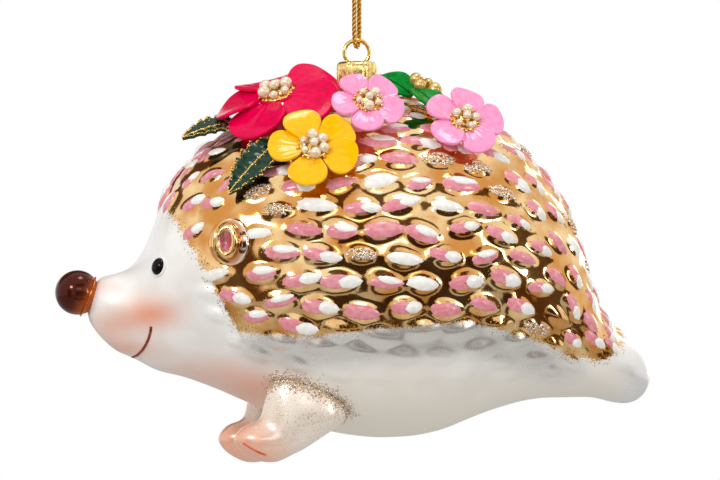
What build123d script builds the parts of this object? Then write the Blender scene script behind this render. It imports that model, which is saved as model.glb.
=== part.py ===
from build123d import *
import os
from collections import namedtuple
from math import asin, cos, degrees, hypot, pi, radians, sin

# A mouth-blown glass hedgehog that hangs from a gold cord, with enamelled flowers wired round its neck.
# Millimetres, +Z up. The nose points to -X and the animal's left side to -Y. The origin is the hang
# point, where the two strands of the cord meet the underside of their knot.

os.makedirs("parts", exist_ok=True)

# Blown body
BODY_LENGTH = 130.0
BODY_WIDTH = 64.0
BODY_HEIGHT = 77.0
SNOUT_REACH = 61.8
GLASS_WALL = 1.3
GLUE_LINE = 0.12
BODY_SIDES = 28
CAVITY_SIDES = 16

# Cross-sections from snout to rump, as shares: place along the length, top, bottom, width
BODY_SECTION_SHARES = (
    (0.044, 0.487, 0.260, 0.236),
    (0.081, 0.515, 0.239, 0.325),
    (0.103, 0.564, 0.216, 0.390),
    (0.120, 0.660, 0.201, 0.450),
    (0.149, 0.758, 0.191, 0.543),
    (0.195, 0.849, 0.167, 0.676),
    (0.267, 0.920, 0.116, 0.829),
    (0.374, 0.976, 0.042, 0.957),
    (0.499, 1.000, 0.000, 1.000),
    (0.606, 0.988, 0.012, 0.971),
    (0.713, 0.930, 0.078, 0.861),
    (0.793, 0.813, 0.112, 0.721),
    (0.847, 0.684, 0.115, 0.600),
    (0.881, 0.501, 0.116, 0.521),
    (0.906, 0.376, 0.113, 0.464),
    (0.945, 0.319, 0.096, 0.379),
    (0.981, 0.272, 0.110, 0.264),
    (0.995, 0.230, 0.140, 0.157),
    (1.000, 0.206, 0.168, 0.066),
)
CAVITY_ROWS = (3, 4, 5, 6, 7, 8, 9, 10, 11, 12, 13)

# Quills moulded in the glass, in staggered rows that stream back from the brow
QUILL_LENGTH = 8.6
QUILL_WIDTH = 4.4
QUILL_RISE = 1.0
QUILL_SINK = 0.45
QUILL_ROWS = 13
QUILL_FIRST_TURN = 6.0
QUILL_ROW_TURN = 8.8
QUILL_PITCH_SHARE = 0.070
QUILL_SPAN_SHARES = (0.137, 0.950)
EAR_CLEAR_SHARE = 0.70

# Where the body is slimmer than this share, each second row is left out
SLIM_SHARE = 0.62

# A quill's corners as shares of its length, width and height
QUILL_CORNER_SHARES = (
    (-0.50, 0.00, 0.00),
    (0.05, -0.50, 0.00),
    (0.05, 0.50, 0.00),
    (0.50, 0.00, 0.00),
    (-0.15, 0.00, 1.00),
    (0.22, 0.00, 1.00),
)

# Lowest quills from brow to rump, as shares of the length and the height
COAT_EDGE_SHARES = (
    (0.129, 0.715),
    (0.182, 0.550),
    (0.241, 0.350),
    (0.352, 0.340),
    (0.641, 0.385),
    (0.738, 0.340),
    (0.898, 0.262),
    (0.955, 0.290),
)

# Snout tip, where the nose ball sits
SEAT_WIDTH = 8.8
SEAT_HEIGHT = 9.4
SEAT_TILT = 21.5
SEAT_RISE_SHARE = 0.421
NOSE_DIAMETER = 10.2
NOSE_SIDES = 16
NOSE_RINGS = 8

# Ears
EAR_DIAMETER = 10.6
EAR_HOLLOW_DIAMETER = 6.4
EAR_SIDES = 12
EAR_RINGS = 6
EAR_PLACE_SHARES = (0.2294, 0.586)
EAR_SINK_SHARE = 0.14
EAR_HOLLOW_SHARES = (-0.26, -0.30, 0.04)

# Eyes
EYE_LENGTH = 3.8
EYE_WIDTH = 3.2
EYE_BULGE = 0.9
EYE_RECESS = 0.35
EYE_LEAN = -20.0
EYE_CLEARANCE = 0.06
EYE_SIDES = 12
EYE_RING_SHARES = ((1.00, 0.00), (0.90, 0.50), (0.62, 0.85), (0.25, 1.00))
EYE_PLACE_SHARES = (0.1115, 0.510)

# Front legs, sliced level from the shoulder down to the sole: depth, middle, half length
LEG_HEIGHT = 23.0
LEG_LENGTH = 20.6
LEG_THICKNESS_SHARE = 0.58
LEG_SIDES = 14
LEG_PLACE_SHARES = (0.3754, 0.265)
LEG_SOLE_DROP = 4.9
FAR_LEG_DROP = 2.0
ARM_SLICE_SHARES = (
    (0.00, -0.08, 0.22),
    (0.17, -0.12, 0.32),
    (0.27, -0.09, 0.40),
    (0.37, -0.06, 0.45),
    (0.47, -0.04, 0.48),
    (0.58, -0.05, 0.49),
    (0.74, -0.24, 0.36),
    (0.90, -0.34, 0.24),
)
PAW_SLICE_SHARES = (
    (0.60, -0.56, 0.14),
    (0.64, -0.54, 0.23),
    (0.71, -0.47, 0.38),
    (0.78, -0.43, 0.44),
    (0.87, -0.45, 0.35),
    (0.94, -0.45, 0.24),
    (1.00, -0.43, 0.10),
)

# Blown neck
NECK_DIAMETER = 7.6
NECK_BORE = 5.6
NECK_RISE = 8.0

# Stamped cap
CAP_DIAMETER = 9.7
CAP_HEIGHT = 7.0
CAP_SHEET = 0.35
CAP_SHOULDER = 0.9
CAP_PANELS = 8
CAP_GROOVE = 0.35
CAP_PANEL_SHARE = 0.80
CAP_SEAT = 0.1
CAP_HOLE = 1.6
CAP_HOLE_SIDES = 8

# Wire ring with spring legs
WIRE_DIAMETER = 0.9
WIRE_SIDES = 5
RING_RADIUS = 2.9
RING_STAND = 5.2
RING_MOUTH = 4.0
WIRE_BEND = 0.9
WIRE_SPLAY = 2.5
WIRE_LEG = 9.0

# Cord and knot
CORD_DIAMETER = 1.15
CORD_SIDES = 6
CORD_RISE = 20.0
CORD_CLEARANCE = 0.25
CORD_TURN = 56.0
KNOT_DIAMETER = 5.0
KNOT_WRAP = 1.5
KNOT_WRAPS = 3
KNOT_SIDES = 12
KNOT_GROOVE = 0.5
TAIL_LENGTH = 5.0
TAIL_LEAN = 16.0

# Enamelled flowers and leaves, stamped in one sheet; petal shares are of a flower's diameter
SHEET = 0.5
PETALS = 5
PETAL_WIDTH_SHARE = 0.42
PETAL_LIFT = 17.0
PETAL_TWIST = 6.0
LOBE_SHARE = 0.56
LOBE_SIDES = 10
SETTING_HEIGHT = 0.5
SETTING_SIDES = 12
SETTING_BEADS = 8
SETTING_BEAD_DIAMETER = 0.9
SETTING_BEAD_SIDES = 6
SETTING_TUCK = 0.3
HUB_MARGIN = 0.35
PEARL_GAP = 0.06
PEARL_SIDES = 8
PEARL_RINGS = 4

# Places over the back: share of the length from the ring's axis, turn from the crown to the left, lift
Flower = namedtuple("Flower", "diameter pearl pearls petal_turns side_lean front_lean place_shares")
FLOWERS = {
    "magenta": Flower(29.0, 2.7, 6, (3, 40, 92, 144, 209), -14.0, 27.0, (-0.150, 16.3, 0.188)),
    "yellow": Flower(20.4, 2.4, 6, (18, 90, 162, 234, 306), -4.0, 58.0, (-0.102, 48.2, 0.106)),
    "front_pink": Flower(16.8, 2.2, 5, (54, 126, 198, 270, 342), 4.0, 52.0, (-0.002, 31.6, 0.157)),
    "rear_pink": Flower(18.6, 2.3, 5, (18, 90, 162, 234, 306), 8.0, 52.0, (0.168, 33.8, 0.117)),
}

# Leaves from base to tip, with the roll about their length
Leaf = namedtuple("Leaf", "width roll base_shares tip_shares")
SERRATED_LEAVES = {
    "upper": Leaf(7.0, -22.0, (-0.167, 14.7, 0.124), (-0.317, 20.7, 0.461)),
    "lower": Leaf(6.6, -40.0, (-0.150, 37.5, 0.068), (-0.248, 60.6, 0.147)),
}
SMOOTH_LEAVES = {
    "long": Leaf(5.0, -50.0, (0.088, 8.2, 0.066), (0.046, 4.0, 0.153)),
    "broad": Leaf(8.0, 0.0, (0.096, 13.3, 0.105), (0.127, 27.8, 0.067)),
    "back": Leaf(6.0, -25.0, (0.028, -7.1, 0.053), (0.090, -15.8, 0.119)),
}
LEAF_TEETH = 6
LEAF_STEPS = 10
LEAF_TOOTH_SHARE = 0.18
LEAF_BELLY_SHARE = 0.80

# Bends across half a leaf: place and rise as shares of the half width
FOLD_SHARES = ((1.0, 0.18),)
CURL_SHARES = ((0.5, 0.10), (1.0, 0.42))

# Gold berries: place over the back, and diameter as a share of the largest
BERRY_DIAMETER = 3.5
BERRY_SHARES = (
    (0.100, 8.1, 0.163, 0.90),
    (0.131, 11.7, 0.118, 1.00),
    (0.104, 11.9, 0.141, 0.82),
    (0.122, 7.3, 0.138, 0.82),
)

# Garland wire round the neck, with a stem to the back of each flower and to the berries
GARLAND_WIRE = 0.8
GARLAND_SIDES = 5
GARLAND_TURNS = 18
GARLAND_GAP = 0.4
GARLAND_LIFT = 0.5
STEM_LIFT = 1.2
STEM_GAP = 0.1

# Levels and places that follow from the sizes above
RING_TOP_Z = -CORD_RISE
CAP_TOP_Z = RING_TOP_Z - RING_STAND
NECK_TOP_Z = CAP_TOP_Z - CAP_SHOULDER - CAP_SEAT
CROWN_Z = NECK_TOP_Z - NECK_RISE
BELLY_Z = CROWN_Z - BODY_HEIGHT
SNOUT_X = -SNOUT_REACH
CROWN = Vector(0, 0, CROWN_Z)


def write(piece, name):
    """Label one finished piece and write it as its own file."""
    piece.part.label = name
    export_step(piece.part, f"parts/{name}.step")


def facing(place, normal):
    """A plane at a place that faces along a normal, with its X as level as it can be."""
    return Plane(origin=place, x_dir=Vector(0, 1, 0).cross(normal), z_dir=normal)


def ring(half_width, half_height, sides):
    """The corners of a many-sided oval."""
    turns = [2 * pi * side / sides for side in range(sides)]
    return [(half_width * cos(turn), half_height * sin(turn)) for turn in turns]


def ball(diameter, sides, rings):
    """The corners of a faceted ball about its own middle."""
    corners = [(0, 0, -diameter / 2), (0, 0, diameter / 2)]
    for level in range(1, rings):
        radius = diameter / 2 * sin(pi * level / rings)
        height = diameter / 2 * cos(pi * level / rings)
        corners += [(x, y, height) for x, y in ring(radius, radius, sides)]
    return corners


def body_section(row, grow):
    """The middle, half width and half height of one cross-section of the body."""
    along, top, bottom, width = row
    middle = Vector(SNOUT_X + along * BODY_LENGTH, 0, BELLY_Z + (top + bottom) / 2 * BODY_HEIGHT)
    return middle, width * BODY_WIDTH / 2 + grow, (top - bottom) / 2 * BODY_HEIGHT + grow


def between(rows, along):
    """The row of a table at a place along it, worked out from the two rows on either side."""
    before, after = next(pair for pair in zip(rows, rows[1:]) if pair[1][0] >= along)
    part = (along - before[0]) / (after[0] - before[0])
    return [first + part * (last - first) for first, last in zip(before, after)]


def skin(along, turn, lift):
    """A point on or over the body, at a share of its length and a turn from the crown to the left."""
    middle, half_width, half_height = body_section(between(BODY_SECTION_SHARES, along), 0)
    reach = Vector(0, -half_width * sin(radians(turn)), half_height * cos(radians(turn)))
    return middle + reach * (1 + lift)


def over_back(place_shares):
    """A place over the back, as the garland's tables give it."""
    from_ring, turn, lift = place_shares
    return skin(from_ring + SNOUT_REACH / BODY_LENGTH, turn, lift)


NOSE_SEAT = Plane(
    origin=(SNOUT_X, 0, BELLY_Z + SEAT_RISE_SHARE * BODY_HEIGHT),
    x_dir=(0, 1, 0),
    z_dir=(cos(radians(SEAT_TILT)), 0, -sin(radians(SEAT_TILT))),
)


def blown_form(grow):
    """The outer form of the body, skinned from section to section, grown by a glue line for what fits it."""
    seat = ring(SEAT_WIDTH / 2 + grow, SEAT_HEIGHT / 2 + grow, BODY_SIDES)
    rows = [[NOSE_SEAT.from_local_coords((x, y, 0)) for x, y in seat]]
    for row in BODY_SECTION_SHARES:
        middle, half_width, half_height = body_section(row, grow)
        rows.append([middle + Vector(0, y, z) for y, z in ring(half_width, half_height, BODY_SIDES)])
    spans = [ConvexPolyhedron(before + after, mode=Mode.PRIVATE) for before, after in zip(rows, rows[1:])]
    with BuildPart() as form:
        add(spans)
    return form


def cavity_section(index):
    """The cavity's cross-section, set in by the glass wall square to the slope of the body."""
    before, row, after = BODY_SECTION_SHARES[index - 1 : index + 2]
    run = (after[0] - before[0]) * BODY_LENGTH
    rise = max(abs(after[1] - before[1]), abs(after[2] - before[2])) * BODY_HEIGHT
    return body_section(row, -GLASS_WALL * hypot(1, rise / run))


outer_form = blown_form(0)


def left_seat(shares):
    """The point and outward normal on the left side, at a length and a height given as shares."""
    start = Vector(SNOUT_X + shares[0] * BODY_LENGTH, -BODY_WIDTH, BELLY_Z + shares[1] * BODY_HEIGHT)
    return outer_form.part.find_intersection_points(Axis(start, (0, 1, 0)))[0]


# Blown glass body: shell, quills, ears and neck in one, with a flat recess for each eye
ear_point, ear_normal = left_seat(EAR_PLACE_SHARES)
ear_middle = ear_point - ear_normal * (EAR_SINK_SHARE * EAR_DIAMETER)
ear_hollow = ear_middle + Vector(*EAR_HOLLOW_SHARES) * EAR_DIAMETER
eye_point, eye_normal = left_seat(EYE_PLACE_SHARES)
left_eye_seat = facing(eye_point, eye_normal).rotated((0, 0, EYE_LEAN)).offset(-EYE_RECESS)
with BuildPart() as ear_pair:
    with Locations(ear_middle):
        ConvexPolyhedron(ball(EAR_DIAMETER, EAR_SIDES, EAR_RINGS))
    with Locations(ear_hollow):
        ConvexPolyhedron(ball(EAR_HOLLOW_DIAMETER, EAR_SIDES, EAR_RINGS), mode=Mode.SUBTRACT)
    mirror(about=Plane.XZ)
with BuildPart() as eye_recesses:
    with BuildSketch(left_eye_seat):
        Polygon(*ring(EYE_WIDTH / 2 + EYE_CLEARANCE, EYE_LENGTH / 2 + EYE_CLEARANCE, EYE_SIDES), align=None)
    extrude(amount=EYE_BULGE)
    mirror(about=Plane.XZ)
cavity_corners = []
for row in CAVITY_ROWS:
    middle, half_width, half_height = cavity_section(row)
    cavity_corners += [middle + Vector(0, y, z) for y, z in ring(half_width, half_height, CAVITY_SIDES)]


def gap_to(place, start, end):
    """How far a place lies from the straight line between two others."""
    run = end - start
    part = max(0, min(1, (place - start).dot(run) / run.dot(run)))
    return (place - start - run * part).length


# What lies over the coat: lines with how far the quills stay from them
covers = [(CROWN, Vector(0, 0, NECK_TOP_Z), NECK_DIAMETER / 2 + QUILL_LENGTH / 2)]
for flower in FLOWERS.values():
    place = over_back(flower.place_shares)
    below = over_back((*flower.place_shares[:2], 0))
    covers += [(CROWN, place, QUILL_WIDTH), (place, below, flower.diameter / 2)]
for leaf in (*SERRATED_LEAVES.values(), *SMOOTH_LEAVES.values()):
    base, tip = over_back(leaf.base_shares), over_back(leaf.tip_shares)
    covers.append((base, tip, leaf.width / 2 + QUILL_WIDTH / 2))


def quill(along, turn, side):
    """One quill, a low keeled lens that streams back along the body, on the side given as -1 or 1."""
    place = skin(along, -side * turn, 0)
    back = skin(along + QUILL_PITCH_SHARE / 2, -side * turn, 0) - place
    down = skin(along, -side * (turn + QUILL_ROW_TURN / 2), 0) - place
    seat = Plane(origin=place, x_dir=back, z_dir=back.cross(down) * side)
    size = (1 + between(BODY_SECTION_SHARES, along)[3]) / 2
    corners = []
    for x, y, z in QUILL_CORNER_SHARES:
        height = z * (QUILL_SINK + QUILL_RISE) - QUILL_SINK
        corners.append(seat.from_local_coords((x * size * QUILL_LENGTH, y * size * QUILL_WIDTH, height)))
    return ConvexPolyhedron(corners, mode=Mode.PRIVATE)


quills = []
first_along, last_along = QUILL_SPAN_SHARES
for row in range(QUILL_ROWS):
    turn = QUILL_FIRST_TURN + row * QUILL_ROW_TURN
    for step in range(int((last_along - first_along) / QUILL_PITCH_SHARE) + 1):
        along = first_along + (step + row % 2 / 2) * QUILL_PITCH_SHARE
        slim = between(BODY_SECTION_SHARES, along)[3] < SLIM_SHARE
        low = between(COAT_EDGE_SHARES, along)[1] * BODY_HEIGHT + BELLY_Z
        for side in (-1, 1):
            place = skin(along, -side * turn, 0)
            ear = Vector(ear_middle.X, side * abs(ear_middle.Y), ear_middle.Z)
            clear = all(gap_to(place, start, end) > reach for start, end, reach in covers)
            beside_ear = (place - ear).length < EAR_CLEAR_SHARE * EAR_DIAMETER
            if clear and place.Z > low and not beside_ear and not (slim and row % 2):
                quills.append(quill(along, turn, side))
print(f"{len(quills)} quills")
with BuildPart() as glass_body:
    add([outer_form.part, ear_pair.part] + quills)
    with BuildSketch(Plane.XY.offset(NECK_TOP_Z)):
        Circle(NECK_DIAMETER / 2)
    extrude(amount=-NECK_RISE - GLASS_WALL)
    add(eye_recesses.part, mode=Mode.SUBTRACT)
    ConvexPolyhedron(cavity_corners, mode=Mode.SUBTRACT)
    with BuildSketch(Plane.XY.offset(NECK_TOP_Z)):
        Circle(NECK_BORE / 2)
    extrude(amount=-NECK_RISE - GLASS_WALL - NECK_BORE, mode=Mode.SUBTRACT)
write(glass_body, "glass_body")

# Nose ball, cut flat where it sits on the snout
with BuildPart() as nose_bead:
    nose_drop = NOSE_DIAMETER / 2 * cos(asin(SEAT_WIDTH / NOSE_DIAMETER))
    with Locations(NOSE_SEAT.offset(-nose_drop)):
        ConvexPolyhedron(ball(NOSE_DIAMETER, NOSE_SIDES, NOSE_RINGS))
    split(bisect_by=NOSE_SEAT, keep=Keep.BOTTOM)
write(nose_bead, "nose_bead")

# Eyes, domed beads with flat backs
eye_corners = [(x, y, 0) for x, y in ring(EYE_WIDTH / 2, EYE_LENGTH / 2, EYE_SIDES)]
for spread_share, rise_share in EYE_RING_SHARES:
    half_width, half_height = spread_share * EYE_WIDTH / 2, spread_share * EYE_LENGTH / 2
    height = EYE_RECESS + rise_share * EYE_BULGE
    eye_corners += [(x, y, height) for x, y in ring(half_width, half_height, EYE_SIDES)]
with BuildPart() as left_eye:
    with Locations(left_eye_seat):
        ConvexPolyhedron(eye_corners)
write(left_eye, "left_eye")
with BuildPart() as right_eye:
    mirror(left_eye.part, about=Plane.XZ)
write(right_eye, "right_eye")

# Front legs, an arm and a paw each, cut to the body's curve with a glue line between
glue_form = blown_form(GLUE_LINE)
leg_x = SNOUT_X + LEG_PLACE_SHARES[0] * BODY_LENGTH
leg_y = LEG_PLACE_SHARES[1] * BODY_WIDTH


def leg_slices(side, drop, slices):
    """The corners of level slices through a leg, on the side given as -1 or 1."""
    sole_z = BELLY_Z - LEG_SOLE_DROP - drop
    corners = []
    for depth, shift, reach in slices:
        middle = Vector(leg_x + shift * LEG_LENGTH, side * leg_y, sole_z + (1 - depth) * (LEG_HEIGHT + drop))
        half_length = reach * LEG_LENGTH
        outline = ring(half_length, half_length * LEG_THICKNESS_SHARE, LEG_SIDES)
        corners += [middle + Vector(x, y, 0) for x, y in outline]
    return corners


def front_leg(side, drop):
    """One front leg from its shoulder to its sole."""
    with BuildPart() as leg:
        ConvexPolyhedron(leg_slices(side, drop, ARM_SLICE_SHARES))
        ConvexPolyhedron(leg_slices(side, drop, PAW_SLICE_SHARES))
        add(glue_form.part, mode=Mode.SUBTRACT)
    return leg


left_front_leg = front_leg(-1, 0)
right_front_leg = front_leg(1, FAR_LEG_DROP)
write(left_front_leg, "left_front_leg")
write(right_front_leg, "right_front_leg")


def cap_outline(radius):
    """Flat panels round the cap with a V groove between each two."""
    corners = []
    for panel in range(CAP_PANELS):
        for step, reach in ((-CAP_PANEL_SHARE, radius), (CAP_PANEL_SHARE, radius), (1, radius - CAP_GROOVE)):
            turn = pi * (2 * panel + step) / CAP_PANELS
            corners.append((reach * cos(turn), reach * sin(turn)))
    return corners


# Stamped cap with upright panels, a sloped shoulder and two holes for the wire
wire_x = RING_MOUTH / 2
with BuildPart() as hanger_cap:
    for level, radius in ((0, CAP_DIAMETER / 2 - CAP_SHOULDER), (-CAP_SHOULDER, CAP_DIAMETER / 2)):
        with BuildSketch(Plane.XY.offset(CAP_TOP_Z + level)):
            Polygon(*cap_outline(radius), align=None)
    loft(ruled=True)
    with BuildSketch(Plane.XY.offset(CAP_TOP_Z - CAP_SHOULDER)):
        Polygon(*cap_outline(CAP_DIAMETER / 2), align=None)
    extrude(amount=CAP_SHOULDER - CAP_HEIGHT)
    with BuildSketch(Plane.XY.offset(CAP_TOP_Z - CAP_SHOULDER)):
        RegularPolygon(CAP_DIAMETER / 2 - CAP_GROOVE - CAP_SHEET, 3 * CAP_PANELS)
    extrude(amount=-CAP_HEIGHT, mode=Mode.SUBTRACT)
    with BuildSketch(Plane.XY.offset(CAP_TOP_Z - CAP_SHEET)):
        RegularPolygon(CAP_DIAMETER / 2 - CAP_GROOVE - CAP_SHOULDER, 3 * CAP_PANELS)
    extrude(amount=-CAP_HEIGHT, mode=Mode.SUBTRACT)
    with BuildSketch(Plane.XY.offset(CAP_TOP_Z)):
        with Locations((-wire_x, 0), (wire_x, 0)):
            RegularPolygon(CAP_HOLE / 2, CAP_HOLE_SIDES)
    extrude(amount=-CAP_SHEET, mode=Mode.SUBTRACT)
write(hanger_cap, "hanger_cap")

# Wire ring, whose legs bend down through the cap and spring against the neck's bore
mouth_angle = degrees(asin(wire_x / RING_RADIUS))
with BuildPart() as hanger_wire:
    with BuildLine(Plane.XZ) as wire_path:
        loop = CenterArc((0, RING_TOP_Z - RING_RADIUS), RING_RADIUS, mouth_angle - 90, 360 - 2 * mouth_angle)
        for end, way, turn in ((loop @ 1, loop % 1, 1), (loop @ 0, loop % 0 * -1, -1)):
            bend = JernArc(end, way, WIRE_BEND, -turn * (90 - mouth_angle + WIRE_SPLAY))
            Line(bend @ 1, bend @ 1 + bend % 1 * WIRE_LEG)
    wire_line = wire_path.wires()[0]
    with BuildSketch(Plane(origin=wire_line @ 0, z_dir=wire_line % 0)):
        RegularPolygon(WIRE_DIAMETER / 2, WIRE_SIDES)
    sweep(path=wire_line)
write(hanger_wire, "hanger_wire")

# Cord, a strand down each side of the ring's top wire and a bight under it
bight_radius = WIRE_DIAMETER / 2 + CORD_CLEARANCE + CORD_DIAMETER / 2
across = Vector(cos(radians(CORD_TURN)), sin(radians(CORD_TURN)), 0)
cord_plane = Plane(origin=(0, 0, 0), x_dir=across, z_dir=across.cross(Vector(0, 0, 1)))
with BuildPart() as hanging_cord:
    with BuildLine(cord_plane) as cord_path:
        strand = Line((-bight_radius, 0), (-bight_radius, RING_TOP_Z))
        bight = CenterArc((0, RING_TOP_Z), bight_radius, 180, 180)
        Line(bight @ 1, (bight_radius, 0))
    cord_line = cord_path.wires()[0]
    with BuildSketch(Plane(origin=cord_line @ 0, z_dir=cord_line % 0)) as cord_section:
        RegularPolygon(CORD_DIAMETER / 2, CORD_SIDES)
    sweep(path=cord_line)
write(hanging_cord, "hanging_cord")
print(f"cord length {cord_line.length:.2f}, bight radius {bight_radius:.3f}")
swept = cord_section.sketch.area * cord_line.length
print(f"cord volume {hanging_cord.part.volume:.2f}, section by length {swept:.2f}")

# Knot, three wraps round the strands with the two cut tails above
knot_height = KNOT_WRAPS * KNOT_WRAP
with BuildPart() as cord_knot:
    for wrap in range(KNOT_WRAPS):
        wrap_corners = []
        for rise, radius in ((0, -KNOT_GROOVE), (1, 0), (2, 0), (3, -KNOT_GROOVE)):
            outline = ring(KNOT_DIAMETER / 2 + radius, KNOT_DIAMETER / 2 + radius, KNOT_SIDES)
            wrap_corners += [(x, y, (wrap + rise / 3) * KNOT_WRAP) for x, y in outline]
        ConvexPolyhedron(wrap_corners)
    for side in (-1, 1):
        lean = Vector(side * sin(radians(TAIL_LEAN)), 0, cos(radians(TAIL_LEAN)))
        with BuildSketch(Plane(origin=(side * CORD_DIAMETER, 0, knot_height - CORD_DIAMETER), z_dir=lean)):
            RegularPolygon(CORD_DIAMETER / 2, CORD_SIDES)
        extrude(amount=TAIL_LENGTH + CORD_DIAMETER)
write(cord_knot, "cord_knot")


def flower_plane(flower):
    """The plane of a flower's back, which faces up and leans to the side and to the front."""
    side, front = radians(flower.side_lean), radians(flower.front_lean)
    normal = Vector(sin(side), -sin(front) * cos(side), cos(front) * cos(side))
    return facing(over_back(flower.place_shares), normal)


def petal_outline(hub, diameter):
    """A petal from the hub outwards: straight sides that open into a round lobe."""
    reach = diameter / 2 - hub
    half_length, half_width = LOBE_SHARE * reach, PETAL_WIDTH_SHARE * diameter / 2
    foot = hub * sin(pi / PETALS)
    turns = [2 * pi / 3 * (2 * step / LOBE_SIDES - 1) for step in range(LOBE_SIDES + 1)]
    lobe = [(reach - half_length + half_length * cos(t), half_width * sin(t)) for t in turns]
    return [(-SHEET, -foot)] + lobe + [(-SHEET, foot)]


# Flowers, each with its sheet, beaded setting and pearls
stem_ends = []
for name, flower in FLOWERS.items():
    plane = flower_plane(flower)
    stem_ends.append((plane.origin, plane.z_dir))
    pearl_circle = flower.pearl + PEARL_GAP
    setting_radius = pearl_circle + flower.pearl / 2 - SETTING_TUCK
    hub = setting_radius + SETTING_BEAD_DIAMETER / 2 + HUB_MARGIN
    with BuildPart() as sheet:
        with BuildSketch(plane):
            RegularPolygon(hub, 2 * PETALS, rotation=flower.petal_turns[0])
        extrude(amount=SHEET)
        for turn in flower.petal_turns:
            way = Location((0, 0, 0), (0, 0, turn))
            hinge = Location((hub * cos(pi / 2 / PETALS), 0, 0), (PETAL_TWIST, -PETAL_LIFT, 0))
            with BuildSketch(Plane(plane.location * way * hinge)):
                Polygon(*petal_outline(hub, flower.diameter), align=None)
            extrude(amount=SHEET)
    write(sheet, f"{name}_flower")
    with BuildPart() as setting:
        with BuildSketch(plane.offset(SHEET)):
            RegularPolygon(setting_radius, SETTING_SIDES)
            with PolarLocations(setting_radius, SETTING_BEADS):
                RegularPolygon(SETTING_BEAD_DIAMETER / 2, SETTING_BEAD_SIDES)
        extrude(amount=SETTING_HEIGHT)
    write(setting, f"{name}_setting")
    with BuildPart() as pearl_group:
        with Locations(plane.offset(SHEET + SETTING_HEIGHT + flower.pearl / 2)):
            ConvexPolyhedron(ball(flower.pearl, PEARL_SIDES, PEARL_RINGS))
            with PolarLocations(pearl_circle, flower.pearls, start_angle=flower.petal_turns[0]):
                ConvexPolyhedron(ball(flower.pearl, PEARL_SIDES, PEARL_RINGS))
    write(pearl_group, f"{name}_pearls")


def leaf_plane(leaf):
    """A plane at a leaf's base with X along the leaf, rolled about it, and the leaf's length."""
    base, tip = over_back(leaf.base_shares), over_back(leaf.tip_shares)
    along = tip - base
    sideways = Vector(0, 0, 1).cross(along)
    level = Plane(origin=base, x_dir=along, z_dir=along.cross(sideways))
    return level.rotated((leaf.roll, 0, 0)), along.length


def leaf_sheet(leaf, edge_shares, bend_shares):
    """A leaf cut from sheet and bent along its length, from half its edge and half its section."""
    plane, length = leaf_plane(leaf)
    half = leaf.width / 2
    edge = [(x * length, y * half) for x, y in edge_shares]
    outline = [(0, 0)] + edge + [(length, 0)] + [(x, -y) for x, y in reversed(edge)]
    under = [(y * half, z * half) for y, z in bend_shares]
    section = [(0, 0)] + under + [(y, z + SHEET) for y, z in reversed(under)] + [(0, SHEET)]
    with BuildPart() as sheet:
        with BuildSketch(plane):
            Polygon(*outline, align=None)
        extrude(amount=leaf.width, both=True)
        with BuildSketch(Plane(origin=plane.origin, x_dir=plane.y_dir, z_dir=plane.x_dir)):
            Polygon(*section, align=None)
            mirror(about=Plane.YZ)
        extrude(amount=length, mode=Mode.INTERSECT)
    return sheet


# Serrated leaves, folded along the midrib
serrated_edge = []
for tooth in range(LEAF_TEETH):
    share = (tooth + 1) / (LEAF_TEETH + 1)
    reach = sin(pi * share**LEAF_BELLY_SHARE)
    serrated_edge += [(share, reach), (share, reach - LEAF_TOOTH_SHARE)]
for name, leaf in SERRATED_LEAVES.items():
    write(leaf_sheet(leaf, serrated_edge, FOLD_SHARES), f"{name}_serrated_leaf")

# Smooth leaves, curled up at the sides
smooth_edge = [(step / LEAF_STEPS, sin(pi * step / LEAF_STEPS)) for step in range(1, LEAF_STEPS)]
for name, leaf in SMOOTH_LEAVES.items():
    write(leaf_sheet(leaf, smooth_edge, CURL_SHARES), f"{name}_leaf")

# Gold berries in a cluster
with BuildPart() as gold_berries:
    for *place, size in BERRY_SHARES:
        with Locations(over_back(place)):
            ConvexPolyhedron(ball(size * BERRY_DIAMETER, PEARL_SIDES, PEARL_RINGS))
write(gold_berries, "gold_berries")

# Garland wire: a turn round the neck, and stems that clear the back on their way to the flowers
garland_radius = NECK_DIAMETER / 2 + GARLAND_GAP
garland_z = CROWN_Z + GARLAND_LIFT
berry_end = over_back(BERRY_SHARES[1][:3]) - Vector(0, 0, BERRY_SHARES[1][3] * BERRY_DIAMETER / 2)
stem_ends.append((berry_end, Vector(0, 0, 1)))
with BuildPart() as garland_wire:
    with BuildSketch(Plane.XY.offset(garland_z)):
        RegularPolygon(garland_radius + GARLAND_WIRE, GARLAND_TURNS)
        RegularPolygon(garland_radius, GARLAND_TURNS, mode=Mode.SUBTRACT)
    extrude(amount=GARLAND_WIRE)
    for end, normal in stem_ends:
        way = Vector(end.X, end.Y, 0).normalized()
        start = way * (garland_radius + GARLAND_WIRE / 2) + Vector(0, 0, garland_z + GARLAND_WIRE / 2)
        tip = end - normal * STEM_GAP
        half_way = (start + tip) / 2
        back = outer_form.part.find_intersection_points(Axis(half_way, (0, 0, -1)))[0][0]
        crest = Vector(half_way.X, half_way.Y, max(half_way.Z, back.Z + STEM_LIFT))
        with BuildLine() as stem_path:
            Polyline(start, crest, tip - normal * STEM_LIFT, tip)
        with BuildSketch(Plane(origin=start, z_dir=stem_path.line % 0)):
            RegularPolygon(GARLAND_WIRE / 2, GARLAND_SIDES)
        sweep(path=stem_path.wires()[0], transition=Transition.RIGHT)
write(garland_wire, "garland_wire")
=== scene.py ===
"""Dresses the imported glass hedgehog: lacquered glass, enamelled garland, braided cord and a small studio."""
import logging
import math
import random
from collections.abc import Iterable, Sequence
from dataclasses import dataclass, field
from enum import Enum
from functools import partialmethod

import bmesh
import bpy
import numpy as np
from mathutils import Matrix, Vector
from mathutils.bvhtree import BVHTree


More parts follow.
